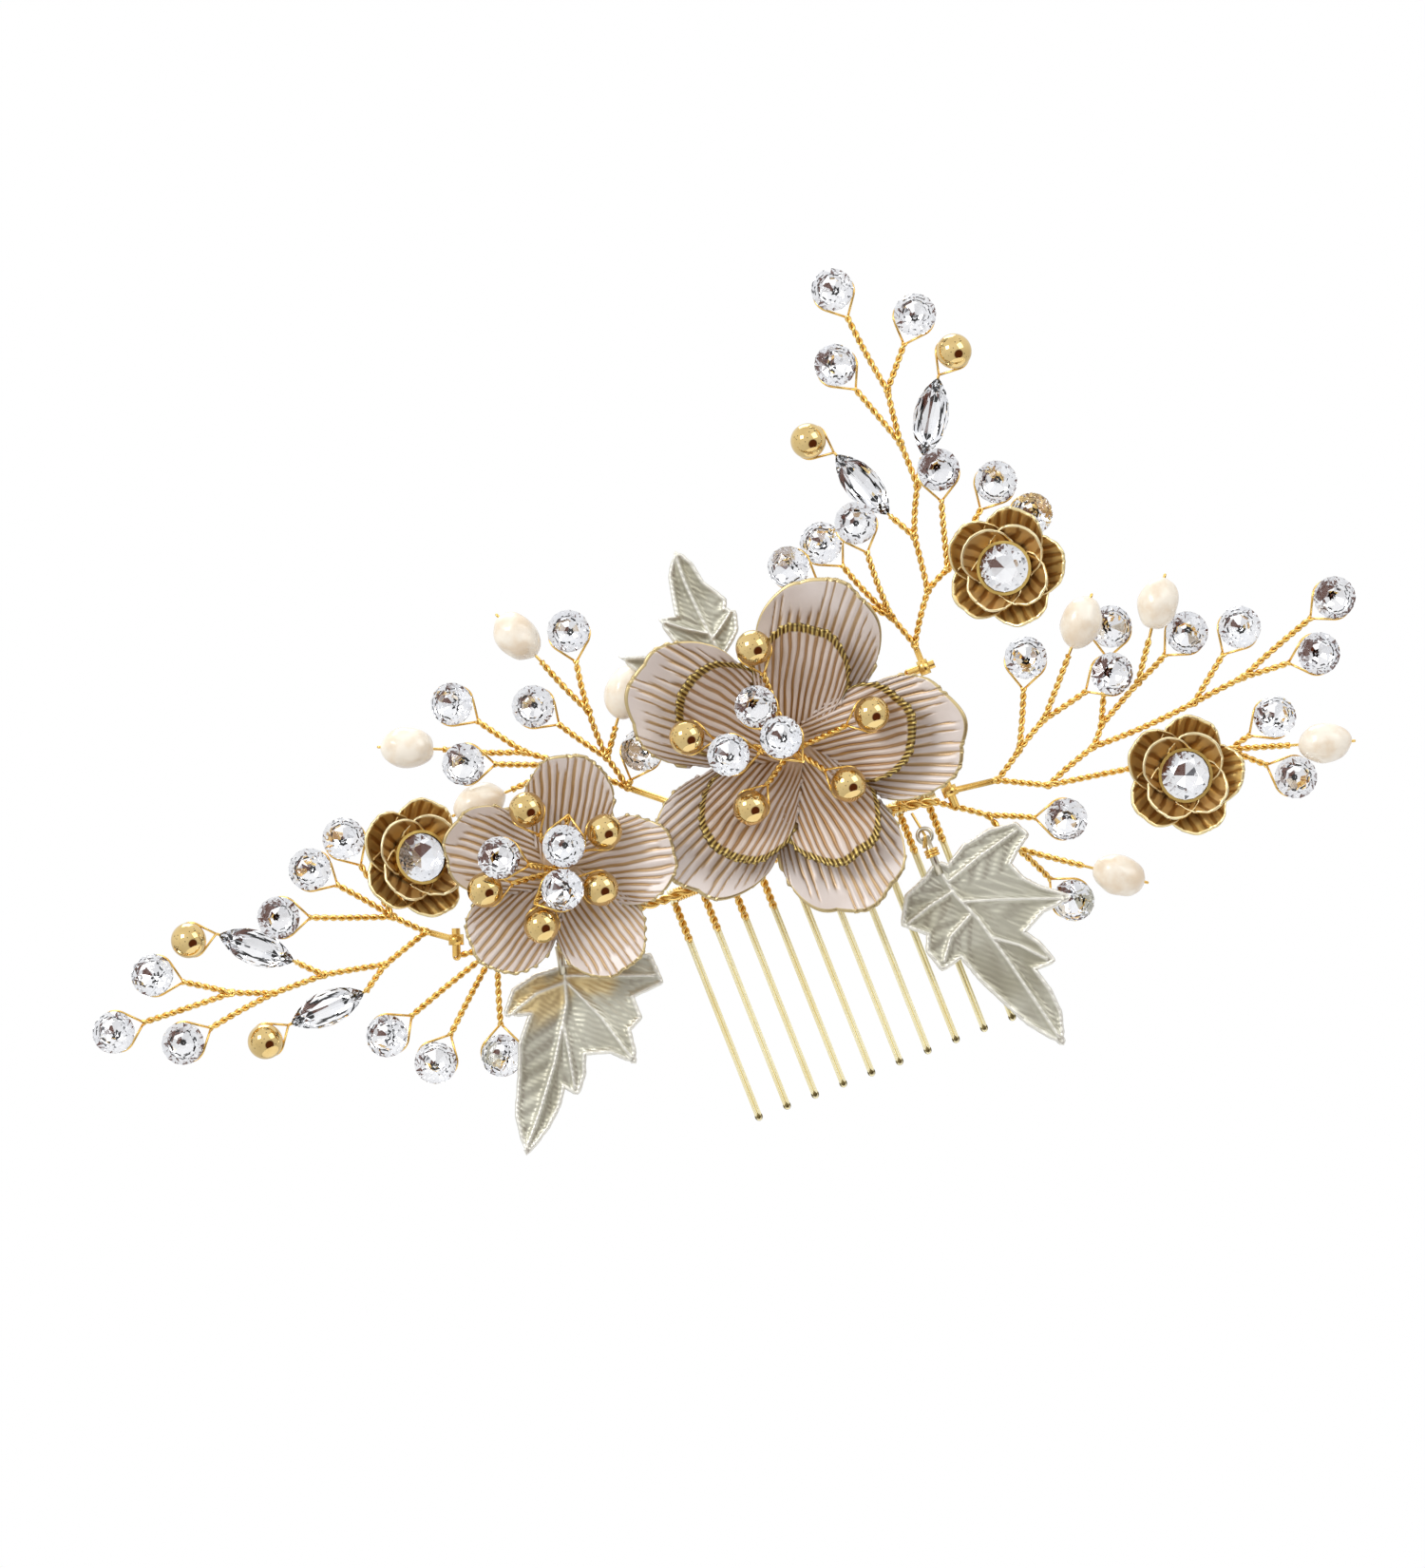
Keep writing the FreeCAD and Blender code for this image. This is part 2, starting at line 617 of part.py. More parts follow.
def trunks():
    """The bound bundles that carry the flowers and the four posts."""
    work = Branchwork("trunk", place(0, 0, 0))
    left = -BAR_HALF
    right = BAR_HALF
    work.fork("left_end", left, 0)
    work.fork("left_bend", left - 11.5, 1.0)
    work.fork("fan", left - 24.0, 2.5)
    work.fork("small", left - 12.0, SMALL_HUB.z)
    work.fork("middle", 0, 0)
    work.fork("large", LARGE_HUB.x, LARGE_HUB.z)
    work.fork("leaf_top", 0, LARGE_HUB.z + 9.3)
    work.fork("upper_foot", -9.0, 0)
    work.fork("top_foot", 15.0, 0)
    work.fork("right_end", right - 0.3, -1.2)
    for name, pivot, axis in (("left", LEFT_PIVOT, LEFT_AXIS), ("upper", UPPER_PIVOT, UPPER_AXIS),
                              ("top", TOP_PIVOT, TOP_AXIS), ("right", RIGHT_PIVOT, RIGHT_AXIS)):
        end = post_end(pivot, axis)
        work.fork(name + "_post", end.x, end.z)
        work.attach(post(pivot, axis), (name + "_post", axis))
    for start, end in (("left_end", "upper_foot"), ("upper_foot", "middle"), ("middle", "top_foot"),
                       ("top_foot", "right_end"), ("left_end", "left_bend"), ("left_bend", "fan")):
        work.run(start, end, "trunk_diameter")
    for start, end in (("fan", "left_post"), ("left_bend", "small"), ("middle", "large"),
                       ("large", "leaf_top"), ("upper_foot", "upper_post"), ("top_foot", "top_post"),
                       ("right_end", "right_post")):
        work.run(start, end)
    work.finish()
    return work


def fan(trunk):
    """Three crystals on stems that spread below the small flower."""
    work = Branchwork("fan", trunk.forks["fan"])
    work.adopt("root", trunk, "fan")
    for across, up, depth in ((-19.0, -6.0, 0), (-14.0, -12.0, 0.4), (-5.0, -14.5, -0.9)):
        work.twig("root", "crystal", across, up, depth)
    work.finish()


def sprig(trunk):
    """Two crystals and a pearl below the right end of the bar."""
    work = Branchwork("sprig", trunk.forks["right_post"])
    work.adopt("root", trunk, "right_post")
    work.fork("bend", 3.8, -2.8)
    work.fork("split", 5.8, -8.5)
    work.run("root", "bend")
    work.run("bend", "split")
    work.twig("bend", "crystal", 13.8, -7.3)
    work.twig("split", "pearl", 17.8, -17.3)
    work.twig("split", "crystal", 10.6, -18.3, -2.2)
    work.finish()


def left_spray():
    work = Branchwork("left", LEFT_PIVOT)
    for name, across, up in (("foot", -3.5, 2.6), ("cluster", -7.0, 6.2), ("lower", -10.5, 0.4),
                             ("middle", -19.0, 2.2), ("upper", -26.5, 2.4), ("end", -32.0, 4.6)):
        work.fork(name, across, up)
    work.foot(LEFT_PIVOT, LEFT_AXIS)
    for start, end in (("foot", "cluster"), ("foot", "lower"), ("lower", "middle"), ("middle", "upper"),
                       ("upper", "end")):
        work.run(start, end)
    for fork, across, up, depth in (("end", -49.5, 5.5, 0), ("end", -41.5, 11.0, 0),
                                    ("upper", -41.0, 0.5, 0.3), ("cluster", -22.0, 12.0, 2.2),
                                    ("cluster", -15.5, 16.7, 0), ("cluster", -9.5, 19.0, 0.3)):
        work.twig(fork, "crystal", across, up, depth)
    work.marquise_twig("middle", -26.5, 9.2, 139, 172)
    work.marquise_twig("lower", -20.3, -2.3, 182, 194)
    work.finish()
    rose("left", LEFT_PIVOT + Vector(-1.5, -size("stem_diameter") / 2 - size("rose_stand"), 12.5), 20)
    return work


def upper_spray():
    work = Branchwork("upper", UPPER_PIVOT)
    for name, across, up in (("foot", -5.3, 4.5), ("bend", -6.5, 9.5), ("high", -6.5, 16.5),
                             ("side", -11.8, 10.6), ("far", -17.0, 14.5)):
        work.fork(name, across, up)
    work.foot(UPPER_PIVOT, UPPER_AXIS)
    for start, end in (("foot", "bend"), ("bend", "high"), ("foot", "side"), ("side", "far")):
        work.run(start, end)
    for fork, kind, across, up, depth in (
            ("high", "pearl", -12.0, 30.0, 0), ("high", "crystal", -5.0, 28.0, 0),
            ("bend", "crystal", -13.5, 20.0, 0), ("far", "crystal", -24.0, 24.5, 0),
            ("far", "pearl", -32.0, 21.0, 0), ("side", "crystal", -25.5, 16.0, 2.9),
            ("bend", "pearl", -0.8, 17.0, 0.3), ("foot", "crystal", -1.5, 8.7, 0.3),
            ("side", "pearl", -25.5, 10.0, -0.5)):
        work.twig(fork, kind, across, up, depth)
    work.finish()
    return work


def top_spray():
    work = Branchwork("top", TOP_PIVOT)
    for name, across, up in (
            ("foot", 0.0, 3.4), ("left", -1.6, 8.2), ("split", 4.5, 9.8), ("right", 8.2, 11.6),
            ("mid", 5.5, 17.5), ("low", 8.5, 24.0), ("high", 8.5, 30.5), ("end", 9.5, 38.0)):
        work.fork(name, across, up)
    work.foot(TOP_PIVOT, TOP_AXIS)
    for start, end in (("foot", "left"), ("foot", "split"), ("split", "right"), ("split", "mid"),
                       ("mid", "low"), ("low", "high"), ("high", "end")):
        work.run(start, end)
    for fork, across, up, depth in (
            ("end", 7.5, 54.0, 0), ("end", 17.0, 46.5, 0), ("high", 4.0, 44.0, 0),
            ("right", 12.0, 25.0, 2.9), ("right", 19.0, 20.5, 0), ("right", 22.0, 14.5, 0),
            ("left", -1.5, 22.3, 2.6), ("left", -7.0, 21.5, -0.6), ("left", -12.5, 20.0, 1.2)):
        work.twig(fork, "crystal", across, up, depth)
    work.marquise_twig("low", 13.8, 32.3, 58, 36)
    work.marquise_twig("mid", 1.4, 27.0, 110, 134)
    work.finish()
    rose("top", TOP_PIVOT + Vector(16.0, -size("stem_diameter") / 2 - size("rose_stand"), 8.8), -8)
    return work


def right_spray():
    work = Branchwork("right", RIGHT_PIVOT)
    for name, across, up in (
            ("foot", 6.8, -1.0), ("near", 11.2, 1.8), ("fan", 16.0, 4.5), ("low", 13.2, -4.3),
            ("mid", 21.0, -1.6), ("rise", 23.2, 0.8), ("tall", 30.2, 4.5), ("far", 36.5, -1.0),
            ("end", 44.2, -0.2), ("rose", 38.8, -9.0)):
        work.fork(name, across, up)
    work.foot(RIGHT_PIVOT, RIGHT_AXIS)
    for start, end in (
            ("foot", "near"), ("near", "fan"), ("foot", "low"), ("low", "mid"), ("mid", "rise"),
            ("rise", "tall"), ("mid", "far"), ("far", "end"), ("low", "rose")):
        work.run(start, end)
    for fork, kind, across, up, depth in (
            ("near", "crystal", 16.8, 13.5, 0), ("fan", "pearl", 25.8, 15.3, 2.2),
            ("fan", "crystal", 27.2, 7.0, 1.4), ("rise", "crystal", 29.6, 13.2, -2.2),
            ("tall", "pearl", 36.8, 13.8, 1.2), ("tall", "crystal", 39.2, 8.5, -1.2),
            ("far", "crystal", 46.3, 6.5, 0), ("end", "crystal", 60.2, 5.5, 0),
            ("end", "crystal", 55.3, -1.0, 0), ("rose", "crystal", 46.3, -7.0, 0),
            ("rose", "pearl", 51.5, -13.0, 0), ("rose", "crystal", 46.0, -16.0, -1.4)):
        work.twig(fork, kind, across, up, depth)
    work.finish()
    rose("right", RIGHT_PIVOT + Vector(31.0, -size("stem_diameter") / 2 - size("rose_stand"), -10.0), 6)
    return work


# ---------------------------------------------------------------- flowers
def stamens(name, hub, front, crystals, beads):
    """A pin through the flower, and stones on stems that spread from its front end."""
    work = Branchwork(name, Vector(hub.x, front, hub.z))
    work.fork("tip", 0, 0, KNOT)
    back = STEM_PLANE - KNOT
    work.wires.append(rod(name + "_pin", Vector(hub.x, back, hub.z), Vector(hub.x, front, hub.z),
                          "pin_diameter"))
    for kind, spots in (("crystal", crystals), ("bead", beads)):
        for spot in spots:
            work.twig("tip", kind, *spot)
    work.finish()


def large_flower():
    outer = stamping("large_outer", (55, -15, -85, -152, 134), "large_reach", "large_width", "large_dish")
    inner = stamping("large_inner", (62, -8, -80, -146, 128), "large_inner_reach", "large_inner_width",
                     "large_inner_dish")
    inner_back = size("petal_sheet") + size("flower_gap")
    outer.Placement = facing_front(LARGE_HUB)
    inner.Placement = facing_front(LARGE_HUB - Vector(0, inner_back, 0))
    node(outer, "large_flower_outer_petals")
    node(inner, "large_flower_inner_petals")
    front = LARGE_HUB.y - inner_back - size("petal_sheet") - PIN_OUT
    stamens("large_flower", LARGE_HUB, front,
            ((-2.5, 7.5, 7.0), (-0.8, 2.2, 9.6, 290), (-8.5, 2.6, 8.2)),
            ((0.2, 15.2, 6.6), (-13.0, 7.0, 6.6), (12.2, 0.6, 5.8), (5.6, -7.4, 4.4), (-8.3, -5.4, 4.4)))


def small_flower():
    petals = stamping("small", (61, -12, -76, -152, 141), "small_reach", "small_width", "small_dish")
    petals.Placement = facing_front(SMALL_HUB)
    node(petals, "small_flower_petals")
    front = SMALL_HUB.y - size("petal_sheet") - PIN_OUT
    stamens("small_flower", SMALL_HUB, front,
            ((2.0, 3.2, 7.0, 60), (-7.0, 5.0, 6.8), (-0.4, -2.4, 5.4, 185)),
            ((-1.0, 9.8, 3.8), (8.0, 3.0, 3.8), (-10.5, 1.5, 4.2), (4.6, -4.2, 3.8), (-5.0, -6.0, 3.8)))


# ---------------------------------------------------------------- leaves
def lobe(base, tip, width):
    """A pointed lobe between two points, as a face made of two arcs."""
    way = tip - base
    side = Vector(-way.z, 0, way.x).normalize() * (width / 2)
    middle = base + way * 0.5
    edges = [Part.Arc(base, middle + side, tip).toShape(), Part.Arc(tip, middle - side, base).toShape()]
    return Part.Face(Part.Wire(edges))


def leaf(label, origin, lobes, neck_end, ring=False):
    """Lobes cast in one plate, with a neck; points are measured from the origin."""
    sheet_depth = size("leaf_sheet")

    def spot(across, up):
        return Vector(origin.x + across, origin.y, origin.z + up)

    plates = []
    for base, tip, width in lobes:
        plates.append(lobe(spot(*base), spot(*tip), width).extrude(Vector(0, -sheet_depth, 0)))
    middle = Vector(0, -sheet_depth / 2, 0)
    foot = spot(*lobes[0][0]) + middle
    end = spot(*neck_end) + middle
    plates.append(Part.makeCylinder(size("leaf_neck") / 2, (end - foot).Length, foot, end - foot))
    if ring:
        wire = size("leaf_ring_wire") / 2
        radius = size("leaf_ring") / 2 - wire
        centre = end + (end - foot).normalize() * radius
        plates.append(Part.makeTorus(radius, wire, centre, Vector(0, 1, 0)))
    item = doc.addObject("Part::Feature", label)
    item.Shape = plates[0].multiFuse(plates[1:]).removeSplitter()
    return node(item, label)


LEAF_GAP = 0.15                           # trunk to the back of a leaf
LEAF_PLANE = -(size("trunk_diameter") / 2 + LEAF_GAP)
NECK_TOP = -6.0                           # height of the top of the front leaf's neck
TIE_TURNS = 3
TIE_TOP = -7.2                            # height of the first turn round that neck
TIE_END = -6.6                            # height where the tie comes down to the turns
TIE_LEAN = 0.6                            # how far the tie leans sideways at the bar


def leaves():
    lift = Vector(0, LEAF_PLANE, 0)
    leaf("leaf_top", place(0, 0, 0) + lift,
         (((-0.8, 30.5), (-1.0, 45.0), 7.0), ((-1.0, 30.5), (-14.0, 34.0), 5.5),
          ((-1.2, 32.5), (-6.5, 37.5), 4.0), ((-0.8, 31.5), (3.8, 35.5), 4.6)),
         (-0.2, 23.2))
    origin = place(-BAR_HALF, 0, 0) + lift
    leaf("leaf_low", origin,
         (((-18.0, -4.5), (-31.0, -26.5), 8.6), ((-17.5, -4.5), (-4.0, -10.0), 8.0),
          ((-18.5, -6.5), (-12.0, -20.0), 7.4), ((-20.5, -9.5), (-21.0, -21.5), 6.0),
          ((-18.5, -4.5), (-26.5, -7.0), 5.0)),
         (-16.0, -0.3))
    hung = place(BAR_HALF, 0, 0) + lift
    leaf("leaf_front", hung,
         (((-3.5, -10.0), (4.0, -39.5), 9.0), ((-3.0, -12.0), (9.8, -8.4), 6.2),
          ((-2.0, -17.0), (13.0, -20.8), 7.4), ((0.5, -24.5), (7.5, -28.5), 5.4),
          ((-3.0, -13.0), (-11.0, -15.8), 5.8), ((-2.5, -16.5), (-8.0, -24.0), 5.6)),
         (-3.5, NECK_TOP), ring=True)
    leaf_tie(Vector(hung.x - 3.5, hung.y - size("leaf_sheet") / 2, 0))


def leaf_tie(neck):
    """Wire from the bar through the leaf's ring, then wound round its neck."""
    reach = size("leaf_neck") / 2 + size("loop_wire") / 2 + size("fit_gap")
    turns = []
    for step in range(TIE_TURNS):
        spot = Vector(neck.x, neck.y, TIE_TOP - step * size("loop_wire"))
        turns.append(solid("Torus", "tie_turn", Placement(spot, Rotation()), Radius2="<loop_wire> / 2",
                           Radius1="<leaf_neck> / 2 + <loop_wire> / 2 + <fit_gap>"))
    ring_centre = NECK_TOP + size("leaf_ring") / 2 - size("leaf_ring_wire") / 2
    behind = neck.y + size("leaf_ring_wire") / 2 + size("loop_wire")
    ahead = neck.y - size("leaf_ring_wire") / 2 - size("loop_wire")
    points = [
        Vector(neck.x - TIE_LEAN, behind, -size("trunk_diameter")),
        Vector(neck.x, behind, ring_centre),
        Vector(neck.x, ahead, ring_centre),
        Vector(neck.x - reach, ahead, TIE_END),
    ]
    turns.append(bent_wire("tie_wire", points, "loop_wire"))
    node_group("leaf_tie", turns)


# ---------------------------------------------------------------- whole comb
comb()
trunk_work = trunks()
fan(trunk_work)
sprig(trunk_work)
large_flower()
small_flower()
leaves()
left_spray()
upper_spray()
top_spray()
right_spray()

doc.recompute()
for item in doc.Objects:
    if "Invalid" in item.State or "Error" in item.State:
        raise RuntimeError("%s failed: %s" % (item.Label, item.State))
for item in NODES:
    if item.Shape.isNull() or not item.Shape.isValid():
        raise RuntimeError("%s has no valid shape" % item.Label)

os.makedirs("parts", exist_ok=True)
for item in NODES:
    item.Shape.exportStep(os.path.join("parts", item.Label + ".step"))
print(len(NODES), "nodes")
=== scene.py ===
import json
import math
import random

import bmesh
import bpy
import numpy as np
from mathutils import Matrix, Vector, noise
from mathutils.geometry import delaunay_2d_cdt

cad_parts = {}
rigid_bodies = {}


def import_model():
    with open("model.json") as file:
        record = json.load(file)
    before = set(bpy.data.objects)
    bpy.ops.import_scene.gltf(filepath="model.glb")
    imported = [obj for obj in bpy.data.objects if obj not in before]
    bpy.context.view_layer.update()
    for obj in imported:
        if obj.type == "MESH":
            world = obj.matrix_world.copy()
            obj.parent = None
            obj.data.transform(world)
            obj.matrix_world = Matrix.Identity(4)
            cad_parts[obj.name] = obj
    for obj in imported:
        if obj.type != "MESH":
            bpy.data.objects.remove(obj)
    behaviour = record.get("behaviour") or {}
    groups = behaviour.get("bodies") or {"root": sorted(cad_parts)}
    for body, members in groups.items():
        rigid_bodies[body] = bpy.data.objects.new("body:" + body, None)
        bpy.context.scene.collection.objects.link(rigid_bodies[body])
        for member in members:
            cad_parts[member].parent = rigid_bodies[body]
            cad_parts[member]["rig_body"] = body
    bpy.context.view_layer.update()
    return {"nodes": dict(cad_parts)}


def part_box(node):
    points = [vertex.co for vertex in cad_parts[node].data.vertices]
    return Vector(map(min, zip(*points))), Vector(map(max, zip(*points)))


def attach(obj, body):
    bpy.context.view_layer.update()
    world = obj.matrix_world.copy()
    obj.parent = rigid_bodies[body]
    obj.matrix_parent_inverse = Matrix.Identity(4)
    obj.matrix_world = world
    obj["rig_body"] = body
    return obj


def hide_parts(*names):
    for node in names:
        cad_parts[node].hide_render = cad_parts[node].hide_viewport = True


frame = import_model()

# Decorative hair comb.  X runs along the spine bar, Z is up and the decorated front faces -Y.
MM = 0.001
FRONT = Matrix.Rotation(math.radians(90), 3, "X")        # a piece's own +Z turns to face the front
chance = random.Random(7)

# Radii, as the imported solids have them.
KNOT, STEM, TRUNK, CORE, POST, PIN = 0.75 * MM, 0.45 * MM, 0.7 * MM, 0.2 * MM, 0.6 * MM, 1.0 * MM
CRYSTAL, BEAD, ROSE_STONE = 3.0 * MM, 2.5 * MM, 3.4 * MM
TOOTH_WIRE = 0.25 * MM
NOISE_FREE = 0.06 * MM                                   # how far a corner may stand off its own ball or rod


def body_of(node):
    return frame["nodes"][node]["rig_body"]


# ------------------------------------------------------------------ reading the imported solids
def merged(node):
    """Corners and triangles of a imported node, with its doubled corners merged."""
    mesh = frame["nodes"][node].data
    corners = np.empty(len(mesh.vertices) * 3)
    mesh.vertices.foreach_get("co", corners)
    triangles = np.empty(len(mesh.loops), dtype=np.int64)
    mesh.loops.foreach_get("vertex_index", triangles)
    grid = np.round(corners.reshape(-1, 3) * 1e7).astype(np.int64)
    kept, index = np.unique(grid, axis=0, return_inverse=True)
    triangles = index.reshape(-1)[triangles].reshape(-1, 3)
    distinct = (triangles[:, 0] != triangles[:, 1]) & (triangles[:, 1] != triangles[:, 2])
    distinct &= triangles[:, 0] != triangles[:, 2]
    return kept / 1e7, triangles[distinct]


def loose_solids(node):
    """The separate solids of a node, each as (corners, triangles).

    The triangles come one solid after another, so a solid ends wherever every edge has met its twin."""
    corners, triangles = merged(node)
    edges = np.sort(np.stack([triangles, np.roll(triangles, -1, axis=1)], axis=2).reshape(-1, 2), axis=1)
    owner = np.repeat(np.arange(len(triangles)), 3)
    key = edges[:, 0] * len(corners) + edges[:, 1]
    order = np.argsort(key, kind="stable")
    pairs = owner[order].reshape(-1, 2)
    opened = np.zeros(len(triangles) + 1, dtype=np.int64)
    np.add.at(opened, pairs[:, 0], 1)
    np.add.at(opened, pairs[:, 1], -1)
    ends = np.flatnonzero(np.cumsum(opened)[:-1] == 0) + 1
    solids = []
    for first, last in zip([0] + list(ends[:-1]), ends):
        own = triangles[first:last]
        used, index = np.unique(own, return_inverse=True)
        solids.append((corners[used], index.reshape(-1, 3)))
    return solids


def middle_of(corners):
    return (corners.min(axis=0) + corners.max(axis=0)) / 2


def knot_middle(corners):
    """The middle of a knot, if the corners lie on its ball."""
    centre = middle_of(corners)
    reach = np.linalg.norm(corners - centre, axis=1)
    round_all_over = reach.max() - reach.min() < NOISE_FREE and len(corners) > 60
    knot_sized = abs(reach.max() - KNOT) < 0.05 * MM
    return centre if round_all_over and knot_sized else None


def rod_of(corners, triangles):
    """Both ends and the radius of a straight round wire, even where it has been trimmed."""
    points = corners[triangles]
    across = np.cross(points[:, 1] - points[:, 0], points[:, 2] - points[:, 0])
    area = np.linalg.norm(across, axis=1)
    solid = area > 1e-15
    points, across, area = points[solid], across[solid], area[solid]
    normal = across / area[:, None]
    middle = points.mean(axis=1)
    keep = np.ones(len(area), bool)
    for _ in range(3):
        weight = area[keep, None]
        way = np.linalg.eigh((normal[keep] * weight).T @ normal[keep])[1][:, 0]
        keep = np.abs(normal @ way) < 0.06
        if keep.sum() < 6:
            return None
    for _ in range(3):
        count = keep.sum()
        flat = np.eye(3) - np.outer(way, way)
        known = (middle[keep] @ flat).reshape(-1)
        unknown = np.zeros((count * 3, 4))
        unknown[:, :3] = np.tile(np.eye(3), (count, 1))
        unknown[:, 3] = normal[keep].reshape(-1)
        weight = np.sqrt(np.repeat(area[keep], 3))
        answer = np.linalg.lstsq(unknown * weight[:, None], known * weight, rcond=None)[0]
        centre, radius = answer[:3], answer[3]
        miss = np.linalg.norm((middle @ flat) - centre - normal * radius, axis=1)
        close = keep & (miss < NOISE_FREE)
        if close.sum() < 6:
            return None
        keep = close
    if area[keep].sum() < 0.45 * area.sum():
        return None
    along = (corners - centre) @ way
    return centre + way * along.min(), centre + way * along.max(), radius


class Wirework:
    """What the wires of one node are made of: knots, straight wires by radius, and bent ones."""

    def __init__(self, node):
        self.knots, self.rods, self.bent = [], [], []
        for corners, triangles in loose_solids(node):
            knot = knot_middle(corners)
            if knot is not None:
                self.knots.append(knot)
                continue
            rod = rod_of(corners, triangles)
            if rod is not None:
                self.rods.append(rod)
            else:
                self.bent.append((corners, triangles))


WIRE_NODES = [name for name in sorted(frame["nodes"]) if name.endswith("_wires")]
wirework = {name: Wirework(name) for name in WIRE_NODES}
all_knots = np.array([knot for work in wirework.values() for knot in work.knots])


# ------------------------------------------------------------------ making and placing pieces
def linked(name, data):
    """A new object in the scene."""
    item = bpy.data.objects.new(name, data)
    bpy.context.scene.collection.objects.link(item)
    return item


def piece_from(mesh, name, node, slot, *materials):
    """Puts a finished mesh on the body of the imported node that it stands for."""
    item = linked(name, mesh)
    for material in materials:
        mesh.materials.append(material)
    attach(item, body_of(node))
    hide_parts(node)
    return item


def refinish(node, material):
    """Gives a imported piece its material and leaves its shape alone."""
    materials = frame["nodes"][node].data.materials
    materials.clear()
    materials.append(material)


class Heap:
    """Gathers shapes into one mesh."""

    def __init__(self):
        self.points, self.faces, self.smooth, self.finish = [], [], [], []

    def add(self, points, faces, smooth=True, finish=0):
        start = len(self.points)
        self.points.extend(tuple(point) for point in points)
        self.faces.extend(tuple(int(corner) + start for corner in face) for face in faces)
        self.smooth.extend([smooth] * len(faces))
        self.finish.extend([finish] * len(faces))

    def mesh(self, name):
        mesh = bpy.data.meshes.new(name)
        mesh.from_pydata(self.points, [], self.faces)
        mesh.polygons.foreach_set("use_smooth", self.smooth)
        mesh.polygons.foreach_set("material_index", self.finish)
        mesh.update()
        return mesh


def moved(points, turn, centre):
    """Points turned by a 3x3 matrix and carried to a centre."""
    return np.asarray(points) @ np.array(turn).T + np.array(centre)


def plain_mesh(item):
    """The mesh of an object with its modifiers applied; the object goes."""
    bpy.context.view_layer.update()
    shown = item.evaluated_get(bpy.context.evaluated_depsgraph_get())
    mesh = bpy.data.meshes.new_from_object(shown)
    bpy.data.objects.remove(item)
    return mesh


# ------------------------------------------------------------------ node trees in short
class Graph:
    """Short forms for adding and joining the nodes of a tree."""

    def __init__(self, tree):
        self.tree = tree

    def node(self, kind, inputs=None, **settings):
        node = self.tree.nodes.new(kind)
        for name, setting in settings.items():
            setattr(node, name, setting)
        for name, given in (inputs or {}).items():
            self.feed(node.inputs[name], given)
        return node

    def feed(self, socket, given):
        if isinstance(given, bpy.types.NodeSocket):
            self.tree.links.new(given, socket)
        else:
            socket.default_value = given

    def math(self, operation, first, second=None, third=None, clamp=False):
        node = self.node("ShaderNodeMath", operation=operation, use_clamp=clamp)
        for index, given in enumerate((first, second, third)):
            if given is not None:
                self.feed(node.inputs[index], given)
        return node.outputs[0]

    def vector(self, operation, first, second=None, scale=None):
        node = self.node("ShaderNodeVectorMath", operation=operation)
        self.feed(node.inputs[0], first)
        if second is not None:
            self.feed(node.inputs[1], second)
        if scale is not None:
            self.feed(node.inputs["Scale"], scale)
        return node.outputs[0]

    def ramp_up(self, value, low, high):
        """0 below low, 1 above high, and smooth between."""
        node = self.node("ShaderNodeMapRange", interpolation_type="SMOOTHSTEP")
        self.feed(node.inputs["Value"], value)
        self.feed(node.inputs["From Min"], low)
        self.feed(node.inputs["From Max"], high)
        return node.outputs[0]


def tree_inputs(tree, *rows):
    for name, kind, default in rows:
        socket = tree.interface.new_socket(name=name, in_out="INPUT", socket_type="NodeSocket" + kind)
        if default is not None:
            socket.default_value = default


def use_tree(item, tree, **values):
    """Puts a geometry tree on an object and sets its inputs by their identifiers."""
    modifier = item.modifiers.new(tree.name, "NODES")
    modifier.node_group = tree
    named = {socket.name: socket.identifier for socket in tree.interface.items_tree
             if socket.item_type == "SOCKET" and socket.in_out == "INPUT"}
    for name, given in values.items():
        modifier[named[name.replace("_", " ").title()]] = given
    return modifier


def finish_tree(graph, geometry, material):
    """The end of every geometry tree: real geometry with its material."""
    real = graph.node("GeometryNodeRealizeInstances", {"Geometry": geometry})
    painted = graph.node("GeometryNodeSetMaterial", {"Geometry": real.outputs[0], "Material": material})
    graph.node("NodeGroupOutput", {"Geometry": painted.outputs[0]})


# ------------------------------------------------------------------ finishes
def rgb(red, green, blue):
    """A display colour from 0 to 255 as the linear colour that a shader takes."""
    def linear(level):
        level = level / 255
        return level / 12.92 if level <= 0.04045 else ((level + 0.055) / 1.055) ** 2.4
    return (linear(red), linear(green), linear(blue), 1.0)


def mix_colour(graph, share, first, second):
    """The first colour where the share is 0 and the second where it is 1."""
    node = graph.node("ShaderNodeMix", data_type="RGBA")
    colours = [socket for socket in node.inputs if socket.type == "RGBA"]
    graph.feed(node.inputs[0], share)
    graph.feed(colours[0], first)
    graph.feed(colours[1], second)
    return [socket for socket in node.outputs if socket.type == "RGBA"][0]


